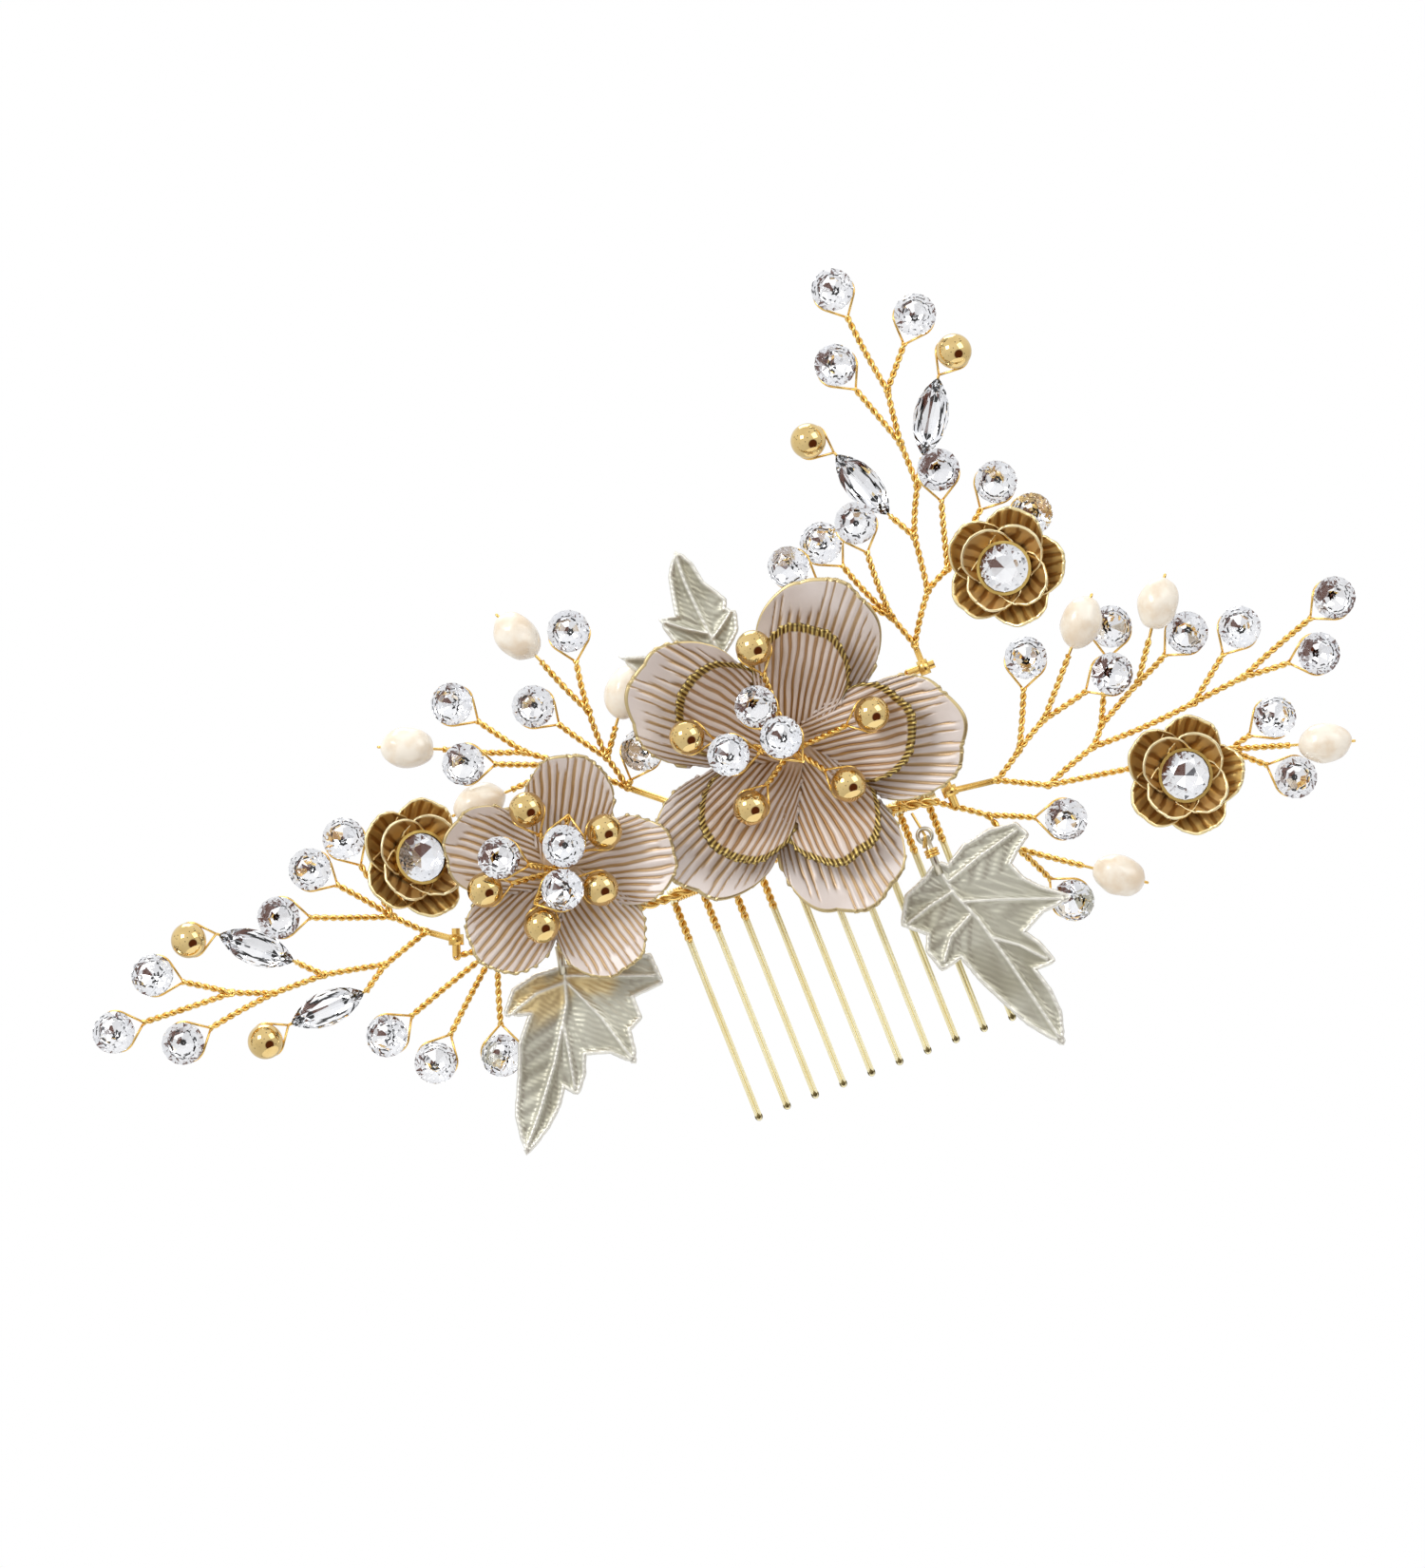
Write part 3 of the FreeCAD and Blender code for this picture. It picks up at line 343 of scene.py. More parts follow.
def toned_metal_group():
    """Colour, roughness and height that wander slowly over worked metal."""
    tree = bpy.data.node_groups.new("Toned metal", "ShaderNodeTree")
    tree_inputs(tree, ("Bright", "Color", (1, 1, 1, 1)), ("Deep", "Color", (0.5, 0.5, 0.5, 1)),
                ("Grain Size", "Float", 400.0), ("Depth Share", "Float", 0.5),
                ("Roughness", "Float", 0.3), ("Roughness Spread", "Float", 0.1))
    for name, kind in (("Color", "Color"), ("Roughness", "Float"), ("Height", "Float")):
        tree.interface.new_socket(name=name, in_out="OUTPUT", socket_type="NodeSocket" + kind)
    graph = Graph(tree)
    given = graph.node("NodeGroupInput").outputs
    place = graph.node("ShaderNodeTexCoord").outputs["Object"]
    slow = graph.node("ShaderNodeTexNoise", {"Vector": place, "Scale": given["Grain Size"], "Detail": 3.0})
    fine = graph.node("ShaderNodeTexNoise", {
        "Vector": place, "Scale": graph.math("MULTIPLY", given["Grain Size"], 6.0), "Detail": 2.0})
    share = graph.math("MULTIPLY", graph.ramp_up(slow.outputs[0], 0.35, 0.75), given["Depth Share"])
    swing = graph.math("SUBTRACT", fine.outputs[0], 0.5)
    rough = graph.math("MULTIPLY_ADD", swing, given["Roughness Spread"], given["Roughness"])
    out = graph.node("NodeGroupOutput")
    graph.feed(out.inputs["Color"], mix_colour(graph, share, given["Bright"], given["Deep"]))
    graph.feed(out.inputs["Roughness"], rough)
    graph.feed(out.inputs["Height"], fine.outputs[0])
    return tree


TONED_METAL = toned_metal_group()


def new_material(name):
    material = bpy.data.materials.new(name)
    material.use_nodes = True
    graph = Graph(material.node_tree)
    shader = material.node_tree.nodes["Principled BSDF"]
    return material, graph, shader


def metal(name, bright, deep, roughness, spread=0.06, grain=300.0, depth_share=0.6, bump=0.0, metallic=1.0):
    """A worked metal finish."""
    material, graph, shader = new_material(name)
    tone = graph.node("ShaderNodeGroup", node_tree=TONED_METAL)
    for socket, given in (("Bright", bright), ("Deep", deep), ("Grain Size", grain),
                          ("Depth Share", depth_share), ("Roughness", roughness),
                          ("Roughness Spread", spread)):
        tone.inputs[socket].default_value = given
    graph.feed(shader.inputs["Base Color"], tone.outputs["Color"])
    graph.feed(shader.inputs["Roughness"], tone.outputs["Roughness"])
    shader.inputs["Metallic"].default_value = metallic
    if bump:
        bumps = graph.node("ShaderNodeBump", {"Height": tone.outputs["Height"], "Strength": bump,
                                              "Distance": 0.02 * MM})
        graph.feed(shader.inputs["Normal"], bumps.outputs[0])
    return material


comb_gold = metal("Comb wire, pale gold", rgb(255, 247, 208), rgb(244, 228, 170), 0.46,
                  spread=0.02, grain=90.0)
stem_gold = metal("Stem wire, warm gold", rgb(246, 208, 124), rgb(206, 156, 66), 0.24, grain=500.0)
bead_gold = metal("Bead, polished gold", rgb(232, 204, 142), rgb(204, 170, 104), 0.06, spread=0.03)
cup_gold = metal("Rose cup, gold", rgb(222, 190, 110), rgb(160, 120, 56), 0.22)
dark_tip = metal("Tooth tip, dark gold", rgb(128, 112, 70), rgb(82, 70, 44), 0.38)


def glass(name):
    material, graph, shader = new_material(name)
    place = graph.node("ShaderNodeTexCoord").outputs["Object"]
    cloud = graph.node("ShaderNodeTexNoise", {"Vector": place, "Scale": 180.0, "Detail": 1.0})
    graph.feed(shader.inputs["Base Color"],
               mix_colour(graph, cloud.outputs[0], rgb(255, 255, 255), rgb(252, 253, 255)))
    shader.inputs["Roughness"].default_value = 0.0
    shader.inputs["IOR"].default_value = 1.62
    shader.inputs["Transmission Weight"].default_value = 1.0
    return material


crystal_glass = glass("Crystal, clear glass")
foil = metal("Crystal, silver foil back", rgb(255, 255, 255), rgb(246, 248, 252), 0.03, spread=0.02)


def pearl_finish():
    material, graph, shader = new_material("Pearl, ivory")
    place = graph.node("ShaderNodeTexCoord").outputs["Object"]
    cloud = graph.node("ShaderNodeTexNoise", {"Vector": place, "Scale": 350.0, "Detail": 3.0})
    share = graph.ramp_up(cloud.outputs[0], 0.35, 0.7)
    graph.feed(shader.inputs["Base Color"], mix_colour(graph, share, rgb(246, 238, 222), rgb(232, 214, 188)))
    shader.inputs["Roughness"].default_value = 0.28
    shader.inputs["Coat Weight"].default_value = 0.5
    shader.inputs["Coat Roughness"].default_value = 0.12
    ridges = graph.node("ShaderNodeBump", {"Height": cloud.outputs[0], "Strength": 0.4,
                                           "Distance": 0.15 * MM})
    graph.feed(shader.inputs["Normal"], ridges.outputs[0])
    return material


pearl_ivory = pearl_finish()


def petal_finish(name, top, shade, groove, rim, metallic, roughness, band=0.03, serration_shade_share=0.0):
    """Pearly enamel over gold: the colour follows the ribs, the rim and the way along a petal. The groove
    colour in the rib valleys is partly gold showing through and partly painted shade, and it also spreads
    over each petal's root; the dark stripes between the serrations of a rim are painted shade.
    """
    material, graph, shader = new_material(name)
    phase = graph.node("ShaderNodeAttribute", attribute_name="phase").outputs["Fac"]
    shown = graph.node("ShaderNodeAttribute", attribute_name="shown").outputs["Fac"]
    along = graph.node("ShaderNodeAttribute", attribute_name="along").outputs["Fac"]
    place = graph.node("ShaderNodeTexCoord").outputs["Object"]
    cloud = graph.node("ShaderNodeTexNoise", {"Vector": place, "Scale": 160.0, "Detail": 4.0})
    body = mix_colour(graph, graph.ramp_up(cloud.outputs[0], 0.3, 0.75), top, shade)
    turn = graph.math("MULTIPLY", phase, math.tau)
    valley = graph.math("MULTIPLY_ADD", graph.math("COSINE", turn), -0.5, 0.5)
    # painted shade: the rib valleys take the darker groove colour, partly real gold showing through and
    # partly shade
    low = graph.math("MULTIPLY", graph.ramp_up(valley, 0.42, 0.88), shown)
    inward = graph.math("MULTIPLY_ADD", along, -0.2, 1.05)
    patch = graph.math("MULTIPLY_ADD", cloud.outputs[0], 0.4, 0.8)
    share = graph.math("MULTIPLY", graph.math("MULTIPLY", low, inward), patch, clamp=True)
    root = graph.math("MULTIPLY", graph.ramp_up(graph.math("SUBTRACT", 1.0, along), 0.55, 1.0), 0.7)
    coloured = mix_colour(graph, root, mix_colour(graph, share, body, groove), groove)
    edge = graph.ramp_up(along, 1.0 - band, 1.0 - band * 0.7)
    # painted shade: dark brown stripes between the serrations of the rim
    teeth = graph.math("MULTIPLY_ADD", graph.math("COSINE", graph.math("MULTIPLY", turn, 2.0)), 0.5, 0.5)
    painted_notch_shade = graph.math("MULTIPLY", graph.ramp_up(graph.math("SUBTRACT", 1.0, teeth), 0.25, 0.65), serration_shade_share)
    coloured = mix_colour(graph, edge, coloured, mix_colour(graph, painted_notch_shade, rim, rgb(84, 58, 28)))
    graph.feed(shader.inputs["Base Color"], coloured)
    shine = graph.math("MAXIMUM", graph.math("MULTIPLY", share, 0.8), edge, clamp=True)
    graph.feed(shader.inputs["Metallic"], graph.math("MAXIMUM", shine, metallic))
    graph.feed(shader.inputs["Roughness"], graph.math("MULTIPLY_ADD", cloud.outputs[0], 0.12, roughness))
    shader.inputs["Coat Weight"].default_value = 0.25
    shader.inputs["Coat Roughness"].default_value = 0.25
    height = graph.math("SUBTRACT", 1.0, graph.math("MULTIPLY", valley, shown))
    bumps = graph.node("ShaderNodeBump", {"Height": height, "Strength": 0.5, "Distance": 0.1 * MM})
    graph.feed(shader.inputs["Normal"], bumps.outputs[0])
    return material


# the third colour of each finish is the groove colour: real gold, partly darkened as painted shade in the rib
# valleys
outer_enamel = petal_finish("Petal enamel, outer", rgb(226, 215, 208), rgb(210, 196, 186),
                            rgb(184, 150, 102), rgb(204, 184, 136), 0.1, 0.36, band=0.02)
inner_enamel = petal_finish("Petal enamel, inner", rgb(222, 208, 198), rgb(204, 186, 172),
                            rgb(170, 130, 80), rgb(204, 180, 108), 0.1, 0.36, band=0.07, serration_shade_share=0.9)
rose_metal = petal_finish("Rose petals, antique gold", rgb(226, 192, 128), rgb(196, 158, 92),
                          rgb(152, 108, 52), rgb(246, 230, 184), 0.6, 0.3, band=0.03)
rose_bright = petal_finish("Rose petals, brighter gold", rgb(240, 206, 130), rgb(214, 172, 92),
                           rgb(176, 124, 52), rgb(248, 230, 176), 0.75, 0.26, band=0.03)


def leaf_finish(name, tint, patches):
    """Satin champagne silver, brighter on the veins, with a painted reflection of warm gold in patches over
    the upper part of the leaf.
    """
    material, graph, shader = new_material(name)
    raised = graph.node("ShaderNodeAttribute", attribute_name="raised").outputs["Fac"]
    place = graph.node("ShaderNodeTexCoord").outputs["Object"]
    cloud = graph.node("ShaderNodeTexNoise", {"Vector": place, "Scale": 120.0, "Detail": 3.0})
    panel = mix_colour(graph, graph.ramp_up(cloud.outputs[0], 0.35, 0.7),
                       rgb(196, 194, 178), rgb(168, 164, 144))
    # painted reflection: a warm gold colour in noise patches, only over the upper part of a leaf
    warm = graph.node("ShaderNodeTexNoise", {"Vector": place, "Scale": 110.0, "Detail": 2.0})
    reach = graph.math("MULTIPLY", graph.ramp_up(warm.outputs[0], 0.48, 0.6), patches)
    upper = graph.node("ShaderNodeAttribute", attribute_name="upward").outputs["Fac"]
    reach = graph.math("MULTIPLY", reach, graph.ramp_up(upper, 0.45, 0.75))
    panel = mix_colour(graph, reach, panel, tint)
    graph.feed(shader.inputs["Base Color"], mix_colour(graph, raised, panel, rgb(238, 236, 226)))
    shader.inputs["Metallic"].default_value = 0.7
    graph.feed(shader.inputs["Roughness"], graph.math("MULTIPLY_ADD", cloud.outputs[0], 0.16, 0.36))
    flutes = graph.node("ShaderNodeTexWave", {"Vector": place, "Scale": 620.0, "Distortion": 2.0,
                                              "Detail": 1.0},
                        wave_type="BANDS", bands_direction="DIAGONAL")
    bumps = graph.node("ShaderNodeBump", {"Height": flutes.outputs["Fac"], "Strength": 0.5,
                                          "Distance": 0.08 * MM})
    graph.feed(shader.inputs["Normal"], bumps.outputs[0])
    return material


# the second colour is the painted gold reflection and the third its share; the low leaf gets the most of it
leaf_silver = leaf_finish("Leaf, champagne silver", rgb(206, 200, 172), 0.3)
leaf_gold_reflection = leaf_finish("Leaf, silver with gold", rgb(228, 204, 146), 0.85)
leaf_neck_metal = metal("Leaf neck, champagne silver", rgb(214, 208, 190), rgb(180, 172, 150), 0.3)


# ------------------------------------------------------------------ twisted wire
def twisted_pair_tree():
    """Two wires laid round every edge path, turning once in each pitch along the twisted length."""
    tree = bpy.data.node_groups.new("Twisted pair", "GeometryNodeTree")
    tree_inputs(tree, ("Geometry", "Geometry", None), ("Wire Radius", "Float", 0.0002),
                ("Lay Radius", "Float", 0.0002), ("Pitch", "Float", 0.0028), ("Twisted Length", "Float", 1.0),
                ("Step", "Float", 0.00025), ("Unevenness", "Float", 0.0), ("Phase", "Float", 0.0),
                ("Side", "Vector", (0, 1, 0)), ("Sides", "Int", 8), ("Material", "Material", None))
    tree.interface.new_socket(name="Geometry", in_out="OUTPUT", socket_type="NodeSocketGeometry")
    graph = Graph(tree)
    given = graph.node("NodeGroupInput").outputs
    path = graph.node("GeometryNodeMeshToCurve", {"Mesh": given["Geometry"]})
    path = graph.node("GeometryNodeResampleCurve", {"Curve": path.outputs[0], "Length": given["Step"]},
                      mode="LENGTH")
    length = graph.node("GeometryNodeSplineParameter").outputs["Length"]
    twisted = graph.math("MINIMUM", length, given["Twisted Length"])
    place = graph.node("GeometryNodeInputPosition").outputs[0]
    drift = graph.node("ShaderNodeTexNoise", {"Vector": place, "Scale": 260.0})
    wander = graph.math("MULTIPLY", graph.math("SUBTRACT", drift.outputs[0], 0.5), given["Unevenness"])
    turn = graph.math("MULTIPLY", graph.math("DIVIDE", twisted, given["Pitch"]), math.tau)
    turn = graph.math("ADD", graph.math("ADD", turn, wander), given["Phase"])
    tangent = graph.node("GeometryNodeInputTangent").outputs[0]
    normal = graph.vector("NORMALIZE", graph.vector("CROSS_PRODUCT", tangent, given["Side"]))
    beside = graph.vector("CROSS_PRODUCT", tangent, normal)
    swell = graph.math("MULTIPLY_ADD", graph.math("MULTIPLY", wander, 0.06),
                       given["Lay Radius"], given["Lay Radius"])
    ring = graph.node("GeometryNodeCurvePrimitiveCircle", {"Resolution": given["Sides"],
                                                           "Radius": given["Wire Radius"]})
    strands = graph.node("GeometryNodeJoinGeometry")
    for half_turn in (0.0, math.pi):
        angle = graph.math("ADD", turn, half_turn)
        out = graph.math("MULTIPLY", graph.math("COSINE", angle), swell)
        sideways = graph.math("MULTIPLY", graph.math("SINE", angle), swell)
        offset = graph.vector("ADD", graph.vector("SCALE", normal, scale=out),
                              graph.vector("SCALE", beside, scale=sideways))
        strand = graph.node("GeometryNodeSetPosition", {"Geometry": path.outputs[0], "Offset": offset})
        tube = graph.node("GeometryNodeCurveToMesh", {
            "Curve": strand.outputs[0], "Profile Curve": ring.outputs[0], "Fill Caps": True})
        tree.links.new(tube.outputs[0], strands.inputs[0])
    smooth = graph.node("GeometryNodeSetShadeSmooth", {"Geometry": strands.outputs[0]})
    finish_tree(graph, smooth.outputs[0], given["Material"])
    return tree


TWISTED_PAIR = twisted_pair_tree()


def paths_object(paths):
    """An object of loose edge paths."""
    mesh = bpy.data.meshes.new("paths")
    points, edges = [], []
    for path in paths:
        start = len(points)
        points.extend(tuple(point) for point in path)
        edges.extend((start + index, start + index + 1) for index in range(len(path) - 1))
    mesh.from_pydata(points, edges, [])
    return linked("paths", mesh)


def twisted(paths, **sizes):
    """The mesh of a twisted pair along each path."""
    item = paths_object(paths)
    use_tree(item, TWISTED_PAIR, **sizes)
    return plain_mesh(item)


def reach_knot(point, knots=all_knots, within=0.95 * MM):
    """The knot that a wire's end belongs to, or the end itself."""
    away = np.linalg.norm(knots - point, axis=1)
    nearest = away.argmin()
    return (knots[nearest], True) if away[nearest] < within else (point, False)


def bowed(start, end, bow, steps=8):
    """A path with a slight natural bow between two points."""
    start, end = np.array(start), np.array(end)
    length = np.linalg.norm(end - start)
    sway = np.array([chance.uniform(-1, 1), chance.uniform(-0.4, 0.4), chance.uniform(-1, 1)]) * bow * length
    shares = np.linspace(0, 1, steps + 1)
    return [start + (end - start) * share + sway * math.sin(math.pi * share) for share in shares]


def near(value, target):
    return abs(value - target) < 0.08 * MM


def tube_points(start, end, radius, sides=20):
    """A plain closed cylinder."""
    start, end = Vector(start), Vector(end)
    turn = (end - start).to_track_quat("Z", "X").to_matrix()
    points, faces = [], []
    for base in (start, end):
        for step in range(sides):
            angle = math.tau * step / sides
            points.append(base + turn @ Vector((radius * math.cos(angle), radius * math.sin(angle), 0)))
    for step in range(sides):
        after = (step + 1) % sides
        faces.append((step, after, sides + after, sides + step))
    faces.append(tuple(range(sides - 1, -1, -1)))
    faces.append(tuple(range(sides, 2 * sides)))
    return points, faces


def ring_points(centre, turn, radius, wire, steps=20, sides=8):
    """A closed ring of round wire, lying across its own Z."""
    points, faces = [], []
    for step in range(steps):
        angle = math.tau * step / steps
        for side in range(sides):
            round_wire = math.tau * side / sides
            reach = radius + wire * math.cos(round_wire)
            points.append((reach * math.cos(angle), reach * math.sin(angle), wire * math.sin(round_wire)))
            ahead = ((step + 1) % steps) * sides
            beside = (side + 1) % sides
            faces.append((step * sides + side, ahead + side, ahead + beside, step * sides + beside))
    return moved(points, turn, centre), faces


def add_wire(heap, start, end, radius, sides=20):
    """A straight wire with round sides and flat ends."""
    points, faces = tube_points(start, end, radius, sides)
    heap.add(points, faces[:-2])
    heap.add(points, faces[-2:], smooth=False)


def tube_along(path, radius, sides=8):
    """A round wire through many points, closed at both ends."""
    path = [Vector(point) for point in path]
    points, faces = [], []
    for index, point in enumerate(path):
        way = path[min(index + 1, len(path) - 1)] - path[max(index - 1, 0)]
        turn = way.to_track_quat("Z", "Y").to_matrix()
        for side in range(sides):
            angle = math.tau * side / sides
            points.append(point + turn @ Vector((radius * math.cos(angle), radius * math.sin(angle), 0)))
    for index in range(len(path) - 1):
        for side in range(sides):
            after = (side + 1) % sides
            faces.append((index * sides + side, index * sides + after,
                          (index + 1) * sides + after, (index + 1) * sides + side))
    faces.append(tuple(range(sides - 1, -1, -1)))
    last = (len(path) - 1) * sides
    faces.append(tuple(range(last, last + sides)))
    return points, faces


# Middle and radius of every round stone and bead that hangs in a loop.
round_things = [(middle_of(corners), radius)
                for ending, radius in (("_crystals", CRYSTAL), ("_gold_beads", BEAD))
                for name in sorted(frame["nodes"]) if name.endswith(ending)
                for corners, _ in loose_solids(name)]


def hugging_loop(heap, corners):
    """A loop that leaves its stem, hugs the sides of its stone and meets behind it.

    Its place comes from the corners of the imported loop.  False if they belong to no round stone."""
    steps, far_side = 12, math.radians(100)
    low, high = corners.min(axis=0), corners.max(axis=0)
    away = [np.linalg.norm(middle_of(corners) - centre) for centre, _ in round_things]
    centre, radius = round_things[int(np.argmin(away))]
    if min(away) > 3.4 * MM or high[1] - low[1] > 0.6 * MM:
        return False
    reach = np.linalg.norm((corners - centre)[:, [0, 2]], axis=1)
    apex = corners[reach > reach.max() - 0.12 * MM].mean(axis=0)
    out = apex - centre
    out[1] = 0
    length = np.linalg.norm(out)
    out /= length
    beside = np.array((-out[2], 0.0, out[0]))
    hug = radius + 0.05 * MM
    touch = math.acos(hug / length)
    for side in (-1, 1):
        path = [centre + out * length]
        for step in range(steps + 1):
            angle = touch + (far_side - touch) * step / steps
            sink = 0.15 * MM + 0.9 * MM * (step / steps) ** 1.5
            pull = hug - 0.35 * MM * (step / steps) ** 2
            point = centre + out * pull * math.cos(angle) + beside * side * pull * math.sin(angle)
            path.append(point + np.array((0, sink, 0)))
        heap.add(*tube_along(path, 0.17 * MM))
    knot = all_knots[np.linalg.norm(all_knots - apex, axis=1).argmin()]
    if np.linalg.norm(knot - apex) < 1.2 * MM:
        heap.add(*tube_points(apex, knot, STEM * 0.6))
    return True


def wires(node):
    """Twisted stems and trunks, fork loops, and the plain wires of one node."""
    work = wirework[node]
    stems, trunks, plain = [], [], Heap()
    name = node.replace("_wires", "")
    tuck, core_end = 0.25 * MM, 0.7 * MM          # past a trimmed end; what shows of a stone's own wire
    for start, end, radius in work.rods:
        way = (end - start) / np.linalg.norm(end - start)
        first, first_knot = reach_knot(start)
        last, last_knot = reach_knot(end)
        if near(radius, STEM) or near(radius, TRUNK):
            first = first if first_knot else start - way * tuck
            last = last if last_knot else end + way * tuck
            bundle, bow = (stems, 0.02) if near(radius, STEM) else (trunks, 0)
            bundle.append(bowed(first, last, bow))
        elif near(radius, CORE):
            add_wire(plain, start, start + way * core_end, radius)
            add_wire(plain, end - way * core_end, end, radius)
        elif near(radius, POST):
            add_wire(plain, first, last, radius)
        else:
            add_wire(plain, start, end, radius)
    for corners, triangles in work.bent:
        if hugging_loop(plain, corners):
            continue
        plain.add(corners, triangles)
        away = np.linalg.norm(all_knots[:, None] - corners[None], axis=2).min(axis=1)
        if abs(away.min() - 0.8 * MM) < 0.1 * MM and len(corners) < 1000:
            knot = all_knots[away.argmin()]
            close = corners[np.linalg.norm(corners - knot, axis=1) < 0.9 * MM]
            plain.add(*tube_points(close.mean(axis=0), knot, STEM * 0.95))
    for knot in work.knots:
        turn = FRONT @ Matrix.Rotation(chance.uniform(-0.5, 0.5), 3, "X")
        turn = turn @ Matrix.Rotation(chance.uniform(-0.5, 0.5), 3, "Y")
        plain.add(*ring_points(knot, turn, 0.42 * MM, 0.2 * MM))
    if stems:
        mesh = twisted(stems, wire_radius=0.24 * MM, lay_radius=0.24 * MM, pitch=2.3 * MM, step=0.18 * MM,
                       unevenness=1.6, material=stem_gold)
        piece_from(mesh, name + "_twisted_stems", node, "gold_wire")
    if trunks:
        mesh = twisted(trunks, wire_radius=0.36 * MM, lay_radius=0.34 * MM, pitch=4.0 * MM, step=0.3 * MM,
                       unevenness=1.0, material=stem_gold, sides=10)
        piece_from(mesh, name + "_twisted_trunks", node, "gold_wire")
    if plain.points:
        piece_from(plain.mesh(name), name + "_loops", node, "gold_wire", stem_gold)


for node in WIRE_NODES:
    wires(node)


# ------------------------------------------------------------------ comb
def folded_tip(heap, middle, tip):
    """The rounded end where the wire of a tooth turns back, dulled to a darker gold."""
    heap.add(*ring_points((middle, 0, tip + 2 * TOOTH_WIRE), FRONT, TOOTH_WIRE * 0.94, TOOTH_WIRE,
                          steps=24, sides=12))
    ball = bmesh.new()
    bmesh.ops.create_uvsphere(ball, u_segments=16, v_segments=10, radius=1.0)
    across, deep, tall = 0.56 * MM, 0.3 * MM, 0.62 * MM
    points = [(middle + v.co.x * across, v.co.y * deep, tip + tall + v.co.z * tall) for v in ball.verts]
    heap.add(points, [[v.index for v in face.verts] for face in ball.faces], finish=1)
    ball.free()


TEETH = sorted(name for name in frame["nodes"] if name.startswith("tooth_"))


def comb_teeth():
    """Each tooth is a hairpin: an eye of two turns, a twisted top, two legs and a folded tip."""
    twist, pitch = 6.0 * MM, 2.16 * MM
    under_eye, eye_radius = -0.85 * MM, 0.88 * MM
    upright = Matrix.Rotation(math.radians(90), 3, "Y")
    for node in TEETH:
        low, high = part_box(node)
        middle = ((low + high) / 2).x
        path = [(middle, 0, under_eye), (middle, 0, under_eye - twist)]
        top = twisted([path], wire_radius=TOOTH_WIRE * 1.2, lay_radius=TOOTH_WIRE * 1.15, pitch=pitch,
                      step=0.2 * MM, material=stem_gold, sides=12)
        piece_from(top, node + "_twisted_top", node, "comb_wire")
        heap = Heap()
        for side in (-1, 1):
            leg = middle + side * TOOTH_WIRE * 0.94
            add_wire(heap, (leg, 0, -twist), (leg, 0, low.z + 2 * TOOTH_WIRE), TOOTH_WIRE, sides=24)
        for side in (-1, 1):
            heap.add(*ring_points((middle + side * TOOTH_WIRE, 0, 0), upright, eye_radius, TOOTH_WIRE,
                                  steps=28, sides=10))
        folded_tip(heap, middle, low.z)
        piece_from(heap.mesh(node), node + "_hairpin", node, "comb_wire", comb_gold, dark_tip)


comb_teeth()


def binding():
    """Fine wire wound round the bar in each gap between the teeth."""
    beside_tooth = 0.62 * MM
    places = [(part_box(name)[0].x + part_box(name)[1].x) / 2 for name in TEETH]
    paths = [[(before + beside_tooth, 0, 0), (after - beside_tooth, 0, 0)]
             for before, after in zip(sorted(places), sorted(places)[1:])]
    mesh = twisted(paths, wire_radius=0.19 * MM, lay_radius=0.83 * MM, pitch=0.8 * MM, step=0.035 * MM,
                   material=stem_gold, sides=6)
    piece_from(mesh, "spine_binding_coils", "spine_binding", "gold_wire")


binding()
refinish("spine_bar", comb_gold)
refinish("leaf_tie", stem_gold)


# ------------------------------------------------------------------ stones, beads and pearls
def hull(points):
    """Corners and facets of the closed shape round a set of points."""
    shape = bmesh.new()
    for point in points:
        shape.verts.new(point)
    bmesh.ops.convex_hull(shape, input=shape.verts)
    bmesh.ops.delete(shape, geom=[v for v in shape.verts if not v.link_faces], context="VERTS")
    bmesh.ops.recalc_face_normals(shape, faces=shape.faces)
    shape.verts.index_update()
    corners = [tuple(v.co) for v in shape.verts]
    facets = [[v.index for v in face.verts] for face in shape.faces]
    shape.free()
    return corners, facets


def level(count, first, radius, height):
    """Points evenly round a circle at a height."""
    angles = [math.tau * (step + first) / count for step in range(count)]
    return [(radius * math.cos(angle), radius * math.sin(angle), height) for angle in angles]


def brilliant(radius, crown, girdle, pavilion):
    """A round brilliant cut facing +Z: table, star, kite and girdle facets, and a pavilion."""
    top = girdle / 2
    points = level(8, 0.5, radius * 0.54, top + crown)
    points += level(8, 0.0, radius * 0.78, top + crown * 0.60)
    points += level(16, 0.0, radius, top) + level(16, 0.0, radius, -top)
    points += level(8, 0.5, radius * 0.52, -top - pavilion * 0.56)
    points.append((0, 0, -top - pavilion))
    return hull(points)


def add_stone(heap, cut, turn, centre, foil_top):
    """Adds a cut stone: the facets that lie wholly below the foil's top edge carry the foil."""
    corners, facets = cut
    heap.add(moved(corners, turn, centre), facets, smooth=False)
    tops = [max(corners[corner][2] for corner in facet) for facet in facets]
    heap.finish[-len(facets):] = [1 if top <= foil_top else 0 for top in tops]


def marquise_cut(length, width, depth):
    """A pointed oval cut facing +Z, with its tips on X."""
    def oval(share_long, share_wide, height, count):
        points = []
        for step in range(count + 1):
            across = math.cos(math.pi * step / count)
            bulge = (1 - across * across) ** 0.85
            for side in (-1, 1):
                points.append((across * length / 2 * share_long, side * bulge * width / 2 * share_wide,
                               height))
        return points
    points = oval(1.0, 1.0, 0.1 * depth, 8) + oval(1.0, 1.0, -0.05 * depth, 8)
    points += oval(0.62, 0.5, 0.5 * depth, 4) + oval(0.8, 0.76, 0.34 * depth, 4)
    points += oval(0.6, 0.06, -0.5 * depth, 2)
    return hull(points)


